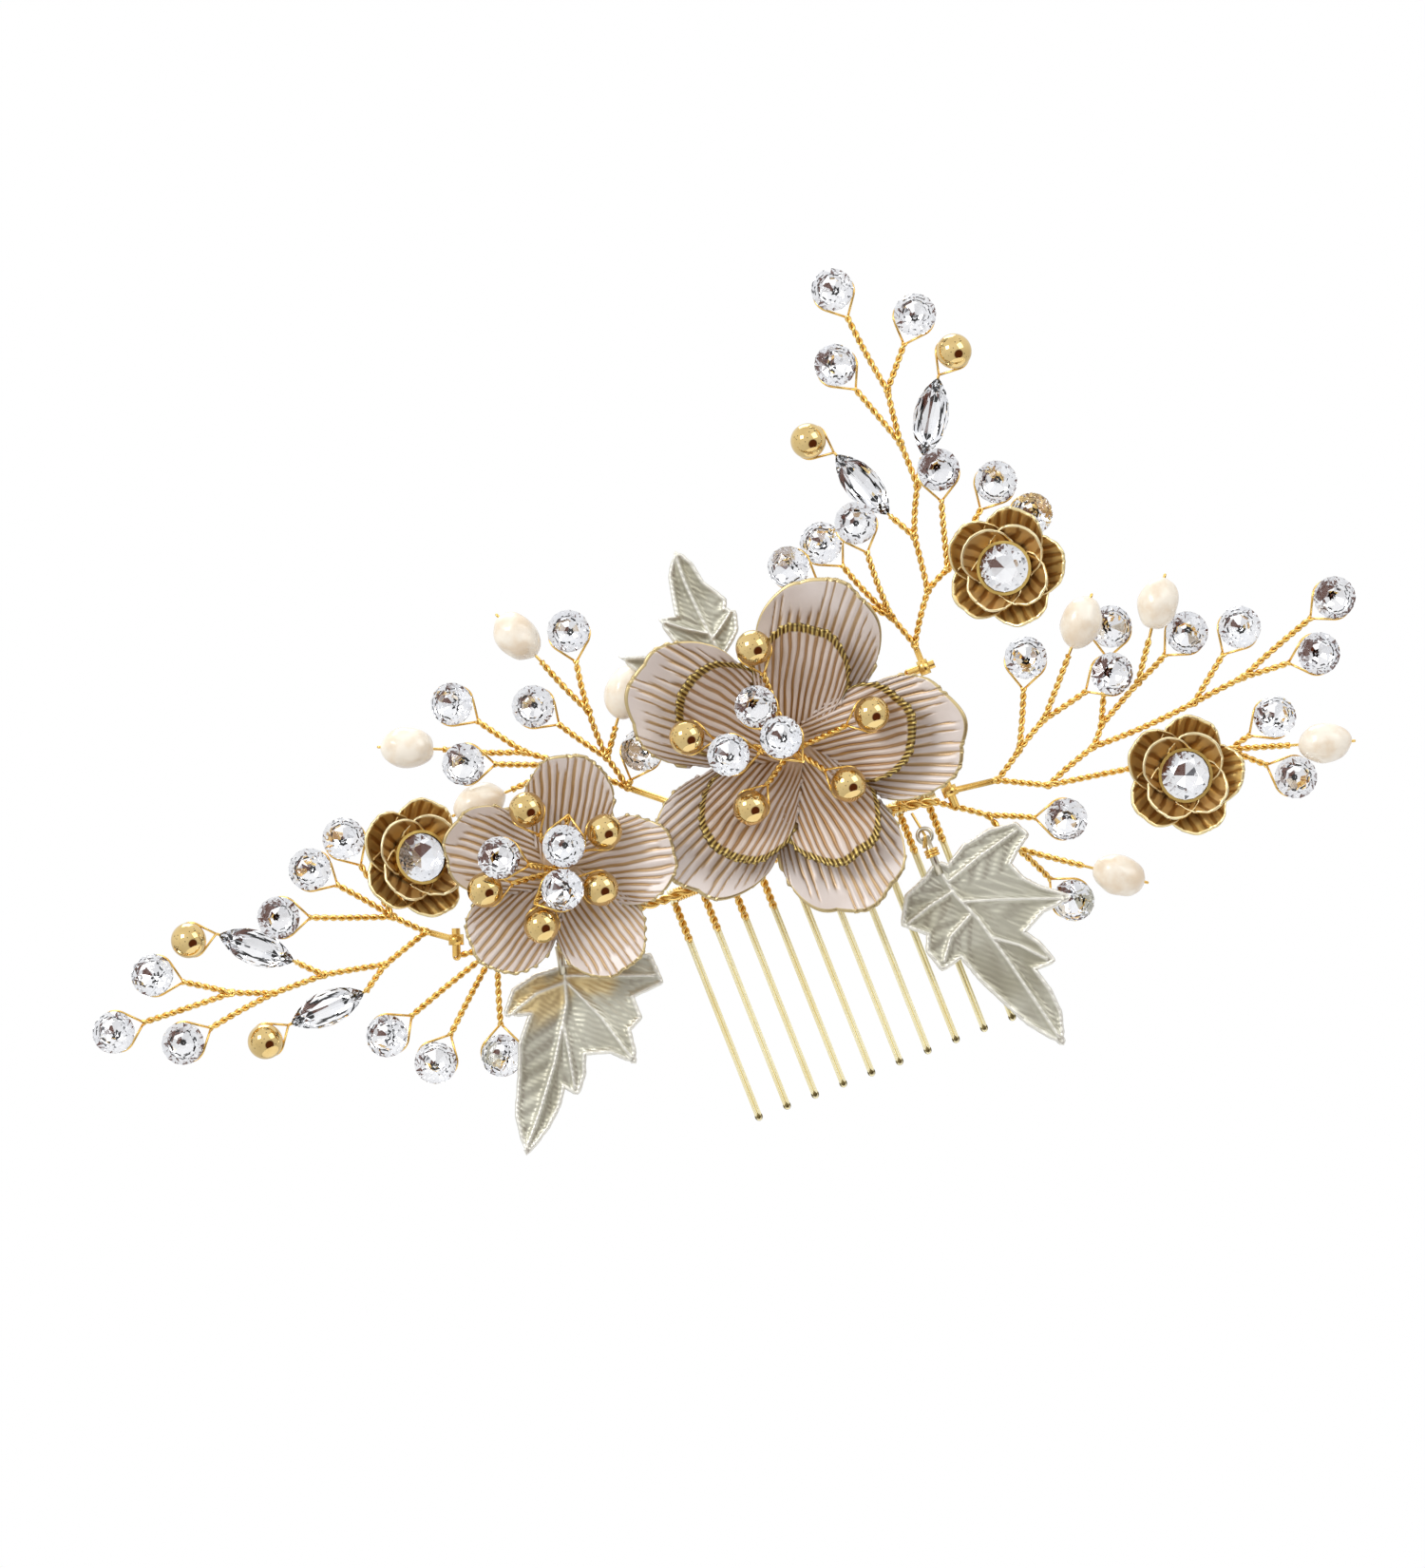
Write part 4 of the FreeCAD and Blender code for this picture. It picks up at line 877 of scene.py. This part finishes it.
def crystals(node):
    """Round stones, each leaning its own slight way."""
    cut = brilliant(CRYSTAL, 1.2 * MM, 0.5 * MM, 2.0 * MM)
    heap = Heap()
    for corners, _ in loose_solids(node):
        centre = middle_of(corners)
        centre[1] -= 0.3 * MM
        lean = Matrix.Rotation(math.radians(chance.uniform(-14, 14)), 3, "X") @ Matrix.Rotation(
            math.radians(chance.uniform(-16, 16)), 3, "Z")
        turn = lean @ FRONT @ Matrix.Rotation(chance.uniform(0, math.tau), 3, "Z")
        add_stone(heap, cut, turn, centre, -0.2 * MM)
    piece_from(heap.mesh(node), node + "_cut", node, "crystal_glass", crystal_glass, foil)


def long_way(corners):
    """The direction of a solid's greatest length."""
    spread = np.cov((corners - middle_of(corners)).T)
    return Vector(np.linalg.eigh(spread)[1][:, -1])


def laid_along(corners):
    """The turn that lays a piece's own X along a solid, with its own Z to the front."""
    way, front = long_way(corners), Vector((0, -1, 0))
    return Matrix((way, front.cross(way), front)).transposed()


def marquises(node):
    cut = marquise_cut(11.2 * MM, 5.0 * MM, 3.0 * MM)
    heap = Heap()
    for corners, _ in loose_solids(node):
        add_stone(heap, cut, laid_along(corners), middle_of(corners), -0.1 * MM)
    piece_from(heap.mesh(node), node + "_cut", node, "crystal_glass", crystal_glass, foil)


def ball_points(radii, wobble=0.0, rings=24):
    """A ball or egg of three radii, with slow swells in its skin."""
    shape = bmesh.new()
    bmesh.ops.create_uvsphere(shape, u_segments=2 * rings, v_segments=rings, radius=1.0)
    offset = Vector((chance.uniform(0, 50), chance.uniform(0, 50), chance.uniform(0, 50)))
    points = []
    for v in shape.verts:
        swell = 1 + wobble * noise.noise(v.co * 1.7 + offset)
        points.append((v.co.z * radii[0] * swell, v.co.y * radii[1] * swell, v.co.x * radii[2] * swell))
    faces = [[v.index for v in reversed(face.verts)] for face in shape.faces]
    shape.free()
    return points, faces


def gold_beads(node):
    heap = Heap()
    for corners, _ in loose_solids(node):
        points, faces = ball_points((BEAD, BEAD, BEAD))
        heap.add(moved(points, Matrix.Identity(3), middle_of(corners)), faces)
    piece_from(heap.mesh(node), node + "_polished", node, "gold_bead", bead_gold)


def pearls(node):
    """Rice pearls, none of them quite even."""
    heap = Heap()
    for corners, _ in loose_solids(node):
        points, faces = ball_points((3.75 * MM, 2.85 * MM, 2.85 * MM), wobble=0.07)
        heap.add(moved(points, laid_along(corners), middle_of(corners)), faces)
    piece_from(heap.mesh(node), node + "_nacre", node, "pearl", pearl_ivory)


STRUNG = {"_crystals": crystals, "_gold_beads": gold_beads, "_marquises": marquises, "_pearls": pearls}
for node in sorted(frame["nodes"]):
    for ending, make in STRUNG.items():
        if node.endswith(ending):
            make(node)


# ------------------------------------------------------------------ ribbed petals
def petal_tree():
    """Raises ribs that fan out along a petal, some of them ending short of its rim."""
    tree = bpy.data.node_groups.new("Ribbed petal", "GeometryNodeTree")
    tree_inputs(tree, ("Geometry", "Geometry", None), ("Rib Count", "Float", 16.0),
                ("Rib Height", "Float", 0.0002), ("Short Share", "Float", 0.6), ("Seed", "Int", 0),
                ("Material", "Material", None))
    tree.interface.new_socket(name="Geometry", in_out="OUTPUT", socket_type="NodeSocketGeometry")
    graph = Graph(tree)
    given = graph.node("NodeGroupInput").outputs

    def read(name):
        return graph.node("GeometryNodeInputNamedAttribute", {"Name": name}, data_type="FLOAT").outputs[0]

    across, along, petal = read("across"), read("along"), read("petal")
    seed = graph.math("MULTIPLY_ADD", petal, 7.3, graph.math("MULTIPLY", given["Seed"], 3.1))
    sway_place = graph.node("ShaderNodeCombineXYZ", {"X": across, "Y": along, "Z": seed})
    sway = graph.node("ShaderNodeTexNoise", {"Vector": sway_place.outputs[0], "Scale": 1.6})
    spread = graph.math("MULTIPLY_ADD", along, 0.5, 0.5)
    half_count = graph.math("MULTIPLY", given["Rib Count"], 0.5)
    phase = graph.math("MULTIPLY", graph.math("MULTIPLY", across, spread), half_count)
    phase = graph.math("ADD", phase, graph.math("MULTIPLY", sway.outputs[0], 1.5))
    wave = graph.math("MULTIPLY_ADD", graph.math("COSINE", graph.math("MULTIPLY", phase, math.tau)), 0.5, 0.5)
    rib = graph.math("POWER", wave, 0.6)
    number = graph.math("FLOOR", graph.math("ADD", phase, 0.5))
    own = graph.node("ShaderNodeCombineXYZ", {"X": number, "Y": seed})
    lot = graph.node("ShaderNodeTexWhiteNoise", {"Vector": own.outputs[0]},
                     noise_dimensions="3D").outputs["Value"]
    ends = graph.math("SUBTRACT", 1.1, graph.math("MULTIPLY", lot, given["Short Share"]))
    fade = graph.math("SUBTRACT", 1.0, graph.ramp_up(along, graph.math("SUBTRACT", ends, 0.05), ends))
    start = graph.ramp_up(along, 0.02, 0.2)
    shown = graph.math("MULTIPLY", fade, start)
    groove = graph.math("MULTIPLY", graph.math("SUBTRACT", 1.0, rib), shown)
    geometry = given["Geometry"]
    for name, values in (("phase", phase), ("shown", shown)):
        geometry = graph.node("GeometryNodeStoreNamedAttribute", {
            "Geometry": geometry, "Name": name, "Value": values},
            data_type="FLOAT", domain="POINT").outputs[0]
    normal = graph.node("GeometryNodeInputNormal").outputs[0]
    sink = graph.math("MULTIPLY", groove, graph.math("MULTIPLY", given["Rib Height"], -1.0))
    set_place = graph.node("GeometryNodeSetPosition", {
        "Geometry": geometry, "Offset": graph.vector("SCALE", normal, scale=sink)})
    smooth = graph.node("GeometryNodeSetShadeSmooth", {"Geometry": set_place.outputs[0]})
    finish_tree(graph, smooth.outputs[0], given["Material"])
    return tree


PETAL_TREE = petal_tree()


HUB = 1.75 * MM                                          # half width of a petal where it leaves the hub


def petal_sheet(directions, reach, width, dish, place, turn, columns=190, rows=38, scallop=0.011,
                curl=0.0, lobes=3, seed=0, thickness=0.4 * MM):
    """Fan-shaped petals round a hub: the front of the dished sheet that they are stamped from.

    The sides of a petal meet at its root, behind the hub, and its rim is a half circle.  Each petal dips
    on one side, so that it passes under the next."""
    own = random.Random(seed)
    centre_out = reach - width / 2                       # hub to the middle of the half circle
    root = centre_out * HUB / (0.49 * width - HUB)       # hub to where the sides would meet
    half = math.asin(min(0.98, (width / 2) / (centre_out + root)))
    ball = (reach ** 2 + dish ** 2) / (2 * dish)         # radius of the ball that the petals curl to
    points, faces = [], []
    marks = {"across": [], "along": [], "petal": []}
    for number, direction in enumerate(directions):
        start = len(points)
        phases = [own.uniform(0, math.tau) for _ in range(3)]
        lift = own.uniform(-0.2, 0.3) * MM
        way = math.radians(direction)
        for row in range(rows + 1):
            along = row / rows
            for column in range(columns + 1):
                across = column / columns * 2 - 1
                angle = across * half * 0.995
                middle = (centre_out + root) * math.cos(angle)
                bow = math.sqrt(max(0, (width / 2) ** 2 - ((centre_out + root) * math.sin(angle)) ** 2))
                lobe = 1.6 * abs(math.sin(across * lobes * math.pi / 2 + phases[0])) ** 0.7
                nick = 0.5 * math.sin(across * 11 + phases[1])
                rim = (middle + bow) * (1 + scallop * (lobe + nick) - 1.2 * scallop)
                inner = root * 1.02 / math.cos(angle) + 0.4 * MM
                out = inner + (rim - inner) * along
                x, y = out * math.cos(angle) - root, out * math.sin(angle)
                height = ball - math.sqrt(ball ** 2 - min(math.hypot(x, y), ball * 0.95) ** 2)
                height += lift * along ** 2 + curl * across ** 2 * along + 0.3 * MM * across * (1 - along)
                height += 0.25 * MM * along ** 2 * math.sin(across * 5 + phases[2]) + thickness
                points.append((x * math.cos(way) - y * math.sin(way),
                               x * math.sin(way) + y * math.cos(way), height))
                for name, mark in (("across", across), ("along", along), ("petal", number)):
                    marks[name].append(mark)
        for row in range(rows):
            for column in range(columns):
                corner = start + row * (columns + 1) + column
                faces.append((corner, corner + columns + 1, corner + columns + 2, corner + 1))
    mesh = bpy.data.meshes.new("petals")
    mesh.from_pydata([tuple(point) for point in moved(points, turn, place)], [], faces)
    for name, values in marks.items():
        mesh.attributes.new(name, "FLOAT", "POINT").data.foreach_set("value", values)
    return linked("petals", mesh)


def thicken(item, thickness):
    """Gives a sheet its thickness behind its front, as a plain mesh."""
    wall = item.modifiers.new("wall", "SOLIDIFY")
    wall.thickness = thickness
    wall.offset = -1.0
    return plain_mesh(item)


def petals(name, node, slot, material, sheet, rib_count, rib_height, short_share, thickness=0.4 * MM, seed=0):
    """Ribs the sheet, gives it its thickness and puts it on its body."""
    use_tree(sheet, PETAL_TREE, rib_count=float(rib_count), rib_height=rib_height, short_share=short_share,
             seed=seed, material=material)
    piece_from(thicken(sheet, thickness), name, node, slot)


def flower_layer(name, node, wires_node, finish, directions, sizes, ribs, seeds):
    """One stamping of a flower, with its hub on the flower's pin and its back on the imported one's."""
    reach, width, dish = (size * MM for size in sizes)
    rib_count, rib_height, short_share = ribs
    hub = [rod for rod in wirework[wires_node].rods if near(rod[2], PIN)][0][0]
    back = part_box(node)[1].y
    sheet = petal_sheet(directions, reach, width, dish, (hub[0], back, hub[2]), FRONT, seed=seeds[0])
    petals(name, node, "petal_enamel", finish, sheet, rib_count, rib_height * MM, short_share, seed=seeds[1])


# Ways the petals point in degrees; reach, width and dish in mm; ribs, their height and how many end short.
flower_layer("large_outer_petals", "large_flower_outer_petals", "large_flower_wires", outer_enamel,
             (55, -15, -85, -152, 134), (24.5, 17.5, 5.0), (18, 0.26, 0.3), (3, 1))
flower_layer("large_inner_petals", "large_flower_inner_petals", "large_flower_wires", inner_enamel,
             (62, -8, -80, -146, 128), (17.5, 13.5, 6.0), (16, 0.28, 0.15), (5, 2))
flower_layer("small_flower_ribbed_petals", "small_flower_petals", "small_flower_wires", outer_enamel,
             (61, -12, -76, -152, 141), (16.5, 12.5, 4.0), (15, 0.26, 0.25), (9, 4))


# ------------------------------------------------------------------ roses
# Layer, petals, way of the first in degrees, reach, width and dish in mm, ribs, seed, finish.
ROSE_LAYERS = (("outer", 5, 20, 8.4, 8.4, 3.4, 9, 11, rose_bright),
               ("inner", 4, 35, 6.3, 7.4, 3.6, 7, 17, rose_metal))


def rose(name):
    """Two layers of cupped petals, a cup and a flat-backed stone, which shows the way the rose faces."""
    node = name + "_rose_"
    stone = loose_solids(node + "crystal")[0][0]
    spread = np.linalg.eigh(np.cov((stone - stone.mean(axis=0)).T))[1][:, 0]
    facing = Vector(spread if spread[1] < 0 else -spread)
    beside = Vector((0, 0, 1)).cross(facing) * -1
    turn = Matrix((beside.normalized(), facing.cross(beside).normalized(), facing)).transposed()
    axis_point = Vector(middle_of(stone))

    def heights(corners):
        return (corners - np.array(axis_point)) @ np.array(facing)

    thickness = 0.3 * MM
    for layer, count, first, reach, width, dish, ribs, seed, finish in ROSE_LAYERS:
        piece = node + layer + "_petals"
        place = axis_point + facing * heights(merged(piece)[0]).min()
        directions = [first + 360 / count * step for step in range(count)]
        sheet = petal_sheet(directions, reach * MM, width * MM, dish * MM, place, turn, columns=80, rows=22,
                            scallop=0.012, curl=0.6 * MM, lobes=2, seed=seed, thickness=thickness)
        petals(node + layer + "_ribbed_petals", piece, "antique_gold", finish, sheet, ribs, 0.12 * MM, 0.2,
               thickness=thickness, seed=seed)
    heap = Heap()
    add_stone(heap, brilliant(ROSE_STONE, 1.3 * MM, 0.4 * MM, 0.72 * MM), turn,
              axis_point + facing * (heights(stone).max() - 1.5 * MM), -0.15 * MM)
    piece_from(heap.mesh(node), node + "brilliant", node + "crystal", "crystal_glass", crystal_glass, foil)
    refinish(node + "setting", cup_gold)


for name in ("left", "top", "right"):
    rose(name)


# ------------------------------------------------------------------ cast leaves
# Outlines, veins and necks are given in hundredths of each leaf's own box, across and up.
# Each has its outline, its veins with the main one first, and its neck.
LEAVES = {
    "leaf_front": (
        ((34, 84), (37, 82), (50, 87), (67, 89), (83, 88), (87, 82), (78, 78), (71, 74), (75, 67), (83, 61),
         (98, 53), (79, 52), (64, 47), (70, 41), (75, 32), (62, 32), (66, 22), (67, 13), (62, 0), (54, 7),
         (46, 14), (39, 24), (31, 35), (25, 47), (12, 45), (8, 54), (12, 60), (0, 67), (8, 77), (23, 81),
         (29, 84)),
        (((31, 84), (35, 70), (42, 59), (50, 38), (61, 4)), ((33, 76), (56, 81), (81, 85)),
         ((37, 67), (60, 62), (92, 54)), ((45, 50), (59, 43), (71, 34)), ((34, 72), (19, 70), (4, 67)),
         ((39, 61), (24, 56), (15, 48))),
        ((31, 96), (31, 80))),
    "leaf_low": (
        ((53, 87), (39, 88), (26, 85), (17, 74), (30, 70), (19, 57), (12, 40), (4, 23), (1, 1), (17, 11),
         (26, 19), (32, 28), (37, 21), (44, 30), (48, 40), (61, 36), (71, 25), (73, 34), (74, 43), (82, 47),
         (82, 59), (99, 60), (98, 76), (78, 84), (59, 87)),
        (((55, 87), (49, 68), (32, 41), (15, 19), (2, 4)), ((53, 79), (63, 55), (70, 29)),
         ((54, 82), (74, 74), (96, 65)), ((52, 79), (37, 79), (21, 74)), ((44, 60), (41, 44), (37, 25))),
        ((56, 98), (53, 83))),
    "leaf_top": (
        ((72, 100), (80, 89), (83, 75), (94, 59), (91, 54), (98, 50), (94, 38), (84, 31), (76, 26), (50, 24),
         (17, 29), (8, 41), (1, 50), (25, 43), (33, 45), (47, 43), (41, 63), (55, 60), (58, 73), (61, 86)),
        (((75, 29), (72, 52), (70, 79), (71, 96)), ((73, 33), (44, 35), (6, 47)),
         ((72, 43), (57, 51), (44, 60)), ((73, 38), (84, 44), (94, 50))),
        ((76, 2), (74, 31))),
}
LEAF_STEP = 0.24 * MM                                    # spacing of the corners within a leaf


def even_points(line, step, closed=False):
    """Points at even steps along straight runs."""
    line = [np.array(point) for point in line]
    pairs = list(zip(line, line[1:] + line[:1] if closed else line[1:]))
    points = []
    for start, end in pairs:
        count = max(1, int(round(np.linalg.norm(end - start) / step)))
        points.extend(start + (end - start) * index / count for index in range(count))
    return points if closed else points + [line[-1]]


def distance_to(points, runs):
    """Least distance from each point to any of the straight runs, each (start, end)."""
    nearest = np.full(len(points), 1.0)
    for start, end in runs:
        way = end - start
        share = np.clip(((points - start) @ way) / (way @ way), 0, 1)
        nearest = np.minimum(nearest, np.linalg.norm(points - start - share[:, None] * way, axis=1))
    return nearest


def inside(points, outline):
    """Whether each point lies within a closed outline."""
    within = np.zeros(len(points), bool)
    for start, end in zip(outline, outline[1:] + outline[:1]):
        crosses = (start[1] > points[:, 1]) != (end[1] > points[:, 1])
        rise = end[1] - start[1] if end[1] != start[1] else 1e-12
        meets = start[0] + (points[:, 1] - start[1]) / rise * (end[0] - start[0])
        within ^= crosses & (points[:, 0] < meets)
    return within


def leaf_relief(places, edge_runs, vein_lines):
    """How far a leaf stands forward at each place, and how near that is to a rim or a vein, from 0 to 1."""
    to_edge = distance_to(places, edge_runs)
    to_vein = distance_to(places, [pair for line in vein_lines for pair in zip(line, line[1:])])
    to_main = distance_to(places, list(zip(vein_lines[0], vein_lines[0][1:])))
    rim = np.exp(-(np.maximum(to_edge - 0.12 * MM, 0) / (0.2 * MM)) ** 2)
    rib = np.exp(-(to_vein / (0.27 * MM)) ** 2)
    main_rib = np.exp(-(to_main / (0.36 * MM)) ** 2)
    hollow = np.clip(np.minimum(to_edge, to_vein) / (0.9 * MM), 0, 1) ** 0.6
    flute = np.sin(places[:, 0] / (0.55 * MM) + places[:, 1] / (0.9 * MM) + 3 * to_vein / MM)
    height = 0.26 * MM * rim + 0.42 * MM * np.maximum(rib, main_rib) - 0.3 * MM * hollow
    height += 0.07 * MM * flute * hollow + 0.8 * MM * np.clip(to_main / (9 * MM), 0, 1) ** 1.5
    return height, np.clip(np.maximum(rim, rib), 0, 1), to_main


def leaf_front_face(node, outline, veins):
    """The front of a thin casting, with raised veins and rim, and soft hollows between them."""
    low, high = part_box(node)
    edge = [np.array(point) for point in even_points(outline, 0.3 * MM, closed=True)]
    edge_runs = list(zip(edge, edge[1:] + edge[:1]))
    rows = enumerate(np.arange(low.z, high.z, LEAF_STEP * 0.87))
    grid = np.array([(x, z) for row, z in rows
                     for x in np.arange(low.x + (row % 2) * LEAF_STEP / 2, high.x, LEAF_STEP)])
    grid = grid[inside(grid, edge)]
    grid = grid[distance_to(grid, edge_runs) > 0.16 * MM]
    flat = [Vector(point) for point in edge] + [Vector(point) for point in grid]
    borders = [(index, (index + 1) % len(edge)) for index in range(len(edge))]
    placed, _, faces, _, _, _ = delaunay_2d_cdt(flat, borders, [], 1, 1e-7)
    places = np.array([tuple(point) for point in placed])
    height, raised, to_main = leaf_relief(places, edge_runs, veins)
    upward = (places[:, 1] - low.z) / (high.z - low.z)
    height += 0.5 * MM * np.sin(upward * 5.2 + places[:, 0] / (5 * MM)) * np.clip(to_main / (3 * MM), 0, 1)
    back = (low.y + high.y) / 2 + 0.1 * MM
    mesh = bpy.data.meshes.new(node)
    mesh.from_pydata([(place[0], back - rise, place[1]) for place, rise in zip(places, height)], [],
                     [tuple(face) for face in faces])
    for name, values in (("raised", raised), ("upward", upward)):
        mesh.attributes.new(name, "FLOAT", "POINT").data.foreach_set("value", values)
    mesh.polygons.foreach_set("use_smooth", [True] * len(mesh.polygons))
    shape = bmesh.new()
    shape.from_mesh(mesh)
    if sum(face.normal.y * face.calc_area() for face in shape.faces) > 0:
        bmesh.ops.reverse_faces(shape, faces=shape.faces)
    shape.to_mesh(mesh)
    shape.free()
    return linked(node, mesh)


def leaf(node, outline, veins, neck):
    """A cast leaf and its round neck; the front leaf hangs by a ring."""
    low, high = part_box(node)

    def spots(line):
        return [np.array((low.x + (high.x - low.x) * across / 100, low.z + (high.z - low.z) * up / 100))
                for across, up in line]

    front = leaf_front_face(node, spots(outline), [spots(vein) for vein in veins])
    finish = leaf_gold_reflection if node == "leaf_low" else leaf_silver
    piece_from(thicken(front, 0.45 * MM), node + "_casting", node, "leaf_metal", finish)
    top, foot = spots(neck)
    middle = (low.y + high.y) / 2
    heap = Heap()
    heap.add(*tube_points((top[0], middle, top[1]), (foot[0], middle, foot[1]), 0.55 * MM))
    if node == "leaf_front":
        ring_middle = (top[0], middle, high.z - 1.3 * MM)
        heap.add(*ring_points(ring_middle, FRONT, 1.0 * MM, 0.3 * MM, steps=32, sides=10))
    piece_from(heap.mesh(node), node + "_neck", node, "leaf_metal", leaf_neck_metal)


for node, (outline, veins, neck) in LEAVES.items():
    leaf(node, outline, veins, neck)


# ------------------------------------------------------------------ camera, floor and light
def long_camera():
    """A camera far in front, rolled so that the comb hangs at a slant."""
    away, frame_height, roll = 1.6, 0.2202, math.radians(21.5)
    data = bpy.data.cameras.new("camera")
    data.lens = 36 * away / frame_height
    data.clip_start, data.clip_end = 0.05, 20
    camera = linked("camera", data)
    bpy.context.scene.camera = camera
    right = Vector((math.cos(roll), 0, -math.sin(roll)))
    up = Vector((math.sin(roll), 0, math.cos(roll)))
    turn = Matrix((right, up, Vector((0, -1, 0)))).transposed().to_4x4()
    camera.matrix_world = Matrix.Translation((-0.00806, -away, 0.01264)) @ turn


def paper_floor():
    """A pale disc well below the comb."""
    mesh = bpy.data.meshes.new("floor")
    disc = bmesh.new()
    bmesh.ops.create_circle(disc, cap_ends=True, segments=96, radius=0.4)
    disc.to_mesh(mesh)
    disc.free()
    floor = linked("floor", mesh)
    floor.location = (0, 0, -0.45)
    paper, graph, shader = new_material("Floor, pale paper")
    place = graph.node("ShaderNodeTexCoord").outputs["Object"]
    grain = graph.node("ShaderNodeTexNoise", {"Vector": place, "Scale": 60.0})
    graph.feed(shader.inputs["Base Color"],
               mix_colour(graph, grain.outputs[0], rgb(248, 248, 248), rgb(244, 244, 243)))
    shader.inputs["Roughness"].default_value = 0.8
    mesh.materials.append(paper)


def soft_lights():
    """Three small panels aimed at the comb, each with its place, size and watts."""
    for name, place, size, power in (("key", (-0.5, -0.7, 0.7), 0.35, 4),
                                     ("fill", (0.7, -0.5, 0.3), 0.5, 1.5),
                                     ("back", (0.1, 0.5, 0.8), 0.5, 2.5)):
        data = bpy.data.lights.new(name, "AREA")
        data.size = size
        data.energy = power
        light = linked(name, data)
        light.location = place
        light.rotation_euler = (-Vector(place)).to_track_quat("-Z", "Y").to_euler()


def tent_world():
    """A white tent with a few dark gaps, which the stones and beads reflect, and plain white behind."""
    world = bpy.data.worlds.new("studio")
    bpy.context.scene.world = world
    world.use_nodes = True
    graph = Graph(world.node_tree)
    look = graph.node("ShaderNodeTexCoord").outputs["Generated"]
    height = graph.node("ShaderNodeSeparateXYZ", {"Vector": look}).outputs["Z"]
    tent = mix_colour(graph, graph.ramp_up(height, -0.6, 0.8), (0.74, 0.74, 0.75, 1), (0.98, 0.98, 0.99, 1))
    cells = graph.node("ShaderNodeTexVoronoi", {"Vector": look, "Scale": 2.6})
    gap = graph.ramp_up(cells.outputs["Distance"], 0.20, 0.12)
    tent = mix_colour(graph, gap, tent, (0.10, 0.10, 0.11, 1))
    low_right = graph.vector("DOT_PRODUCT", look, (0.34, -0.80, -0.50)).node.outputs["Value"]
    tent = mix_colour(graph, graph.ramp_up(low_right, 0.84, 0.92), tent, (0.10, 0.03, 0.015, 1))
    seen = graph.node("ShaderNodeLightPath").outputs["Is Camera Ray"]
    graph.feed(world.node_tree.nodes["Background"].inputs["Color"],
               mix_colour(graph, seen, tent, (1, 1, 1, 1)))


long_camera()
paper_floor()
soft_lights()
tent_world()
bpy.context.scene.view_settings.view_transform = "Standard"
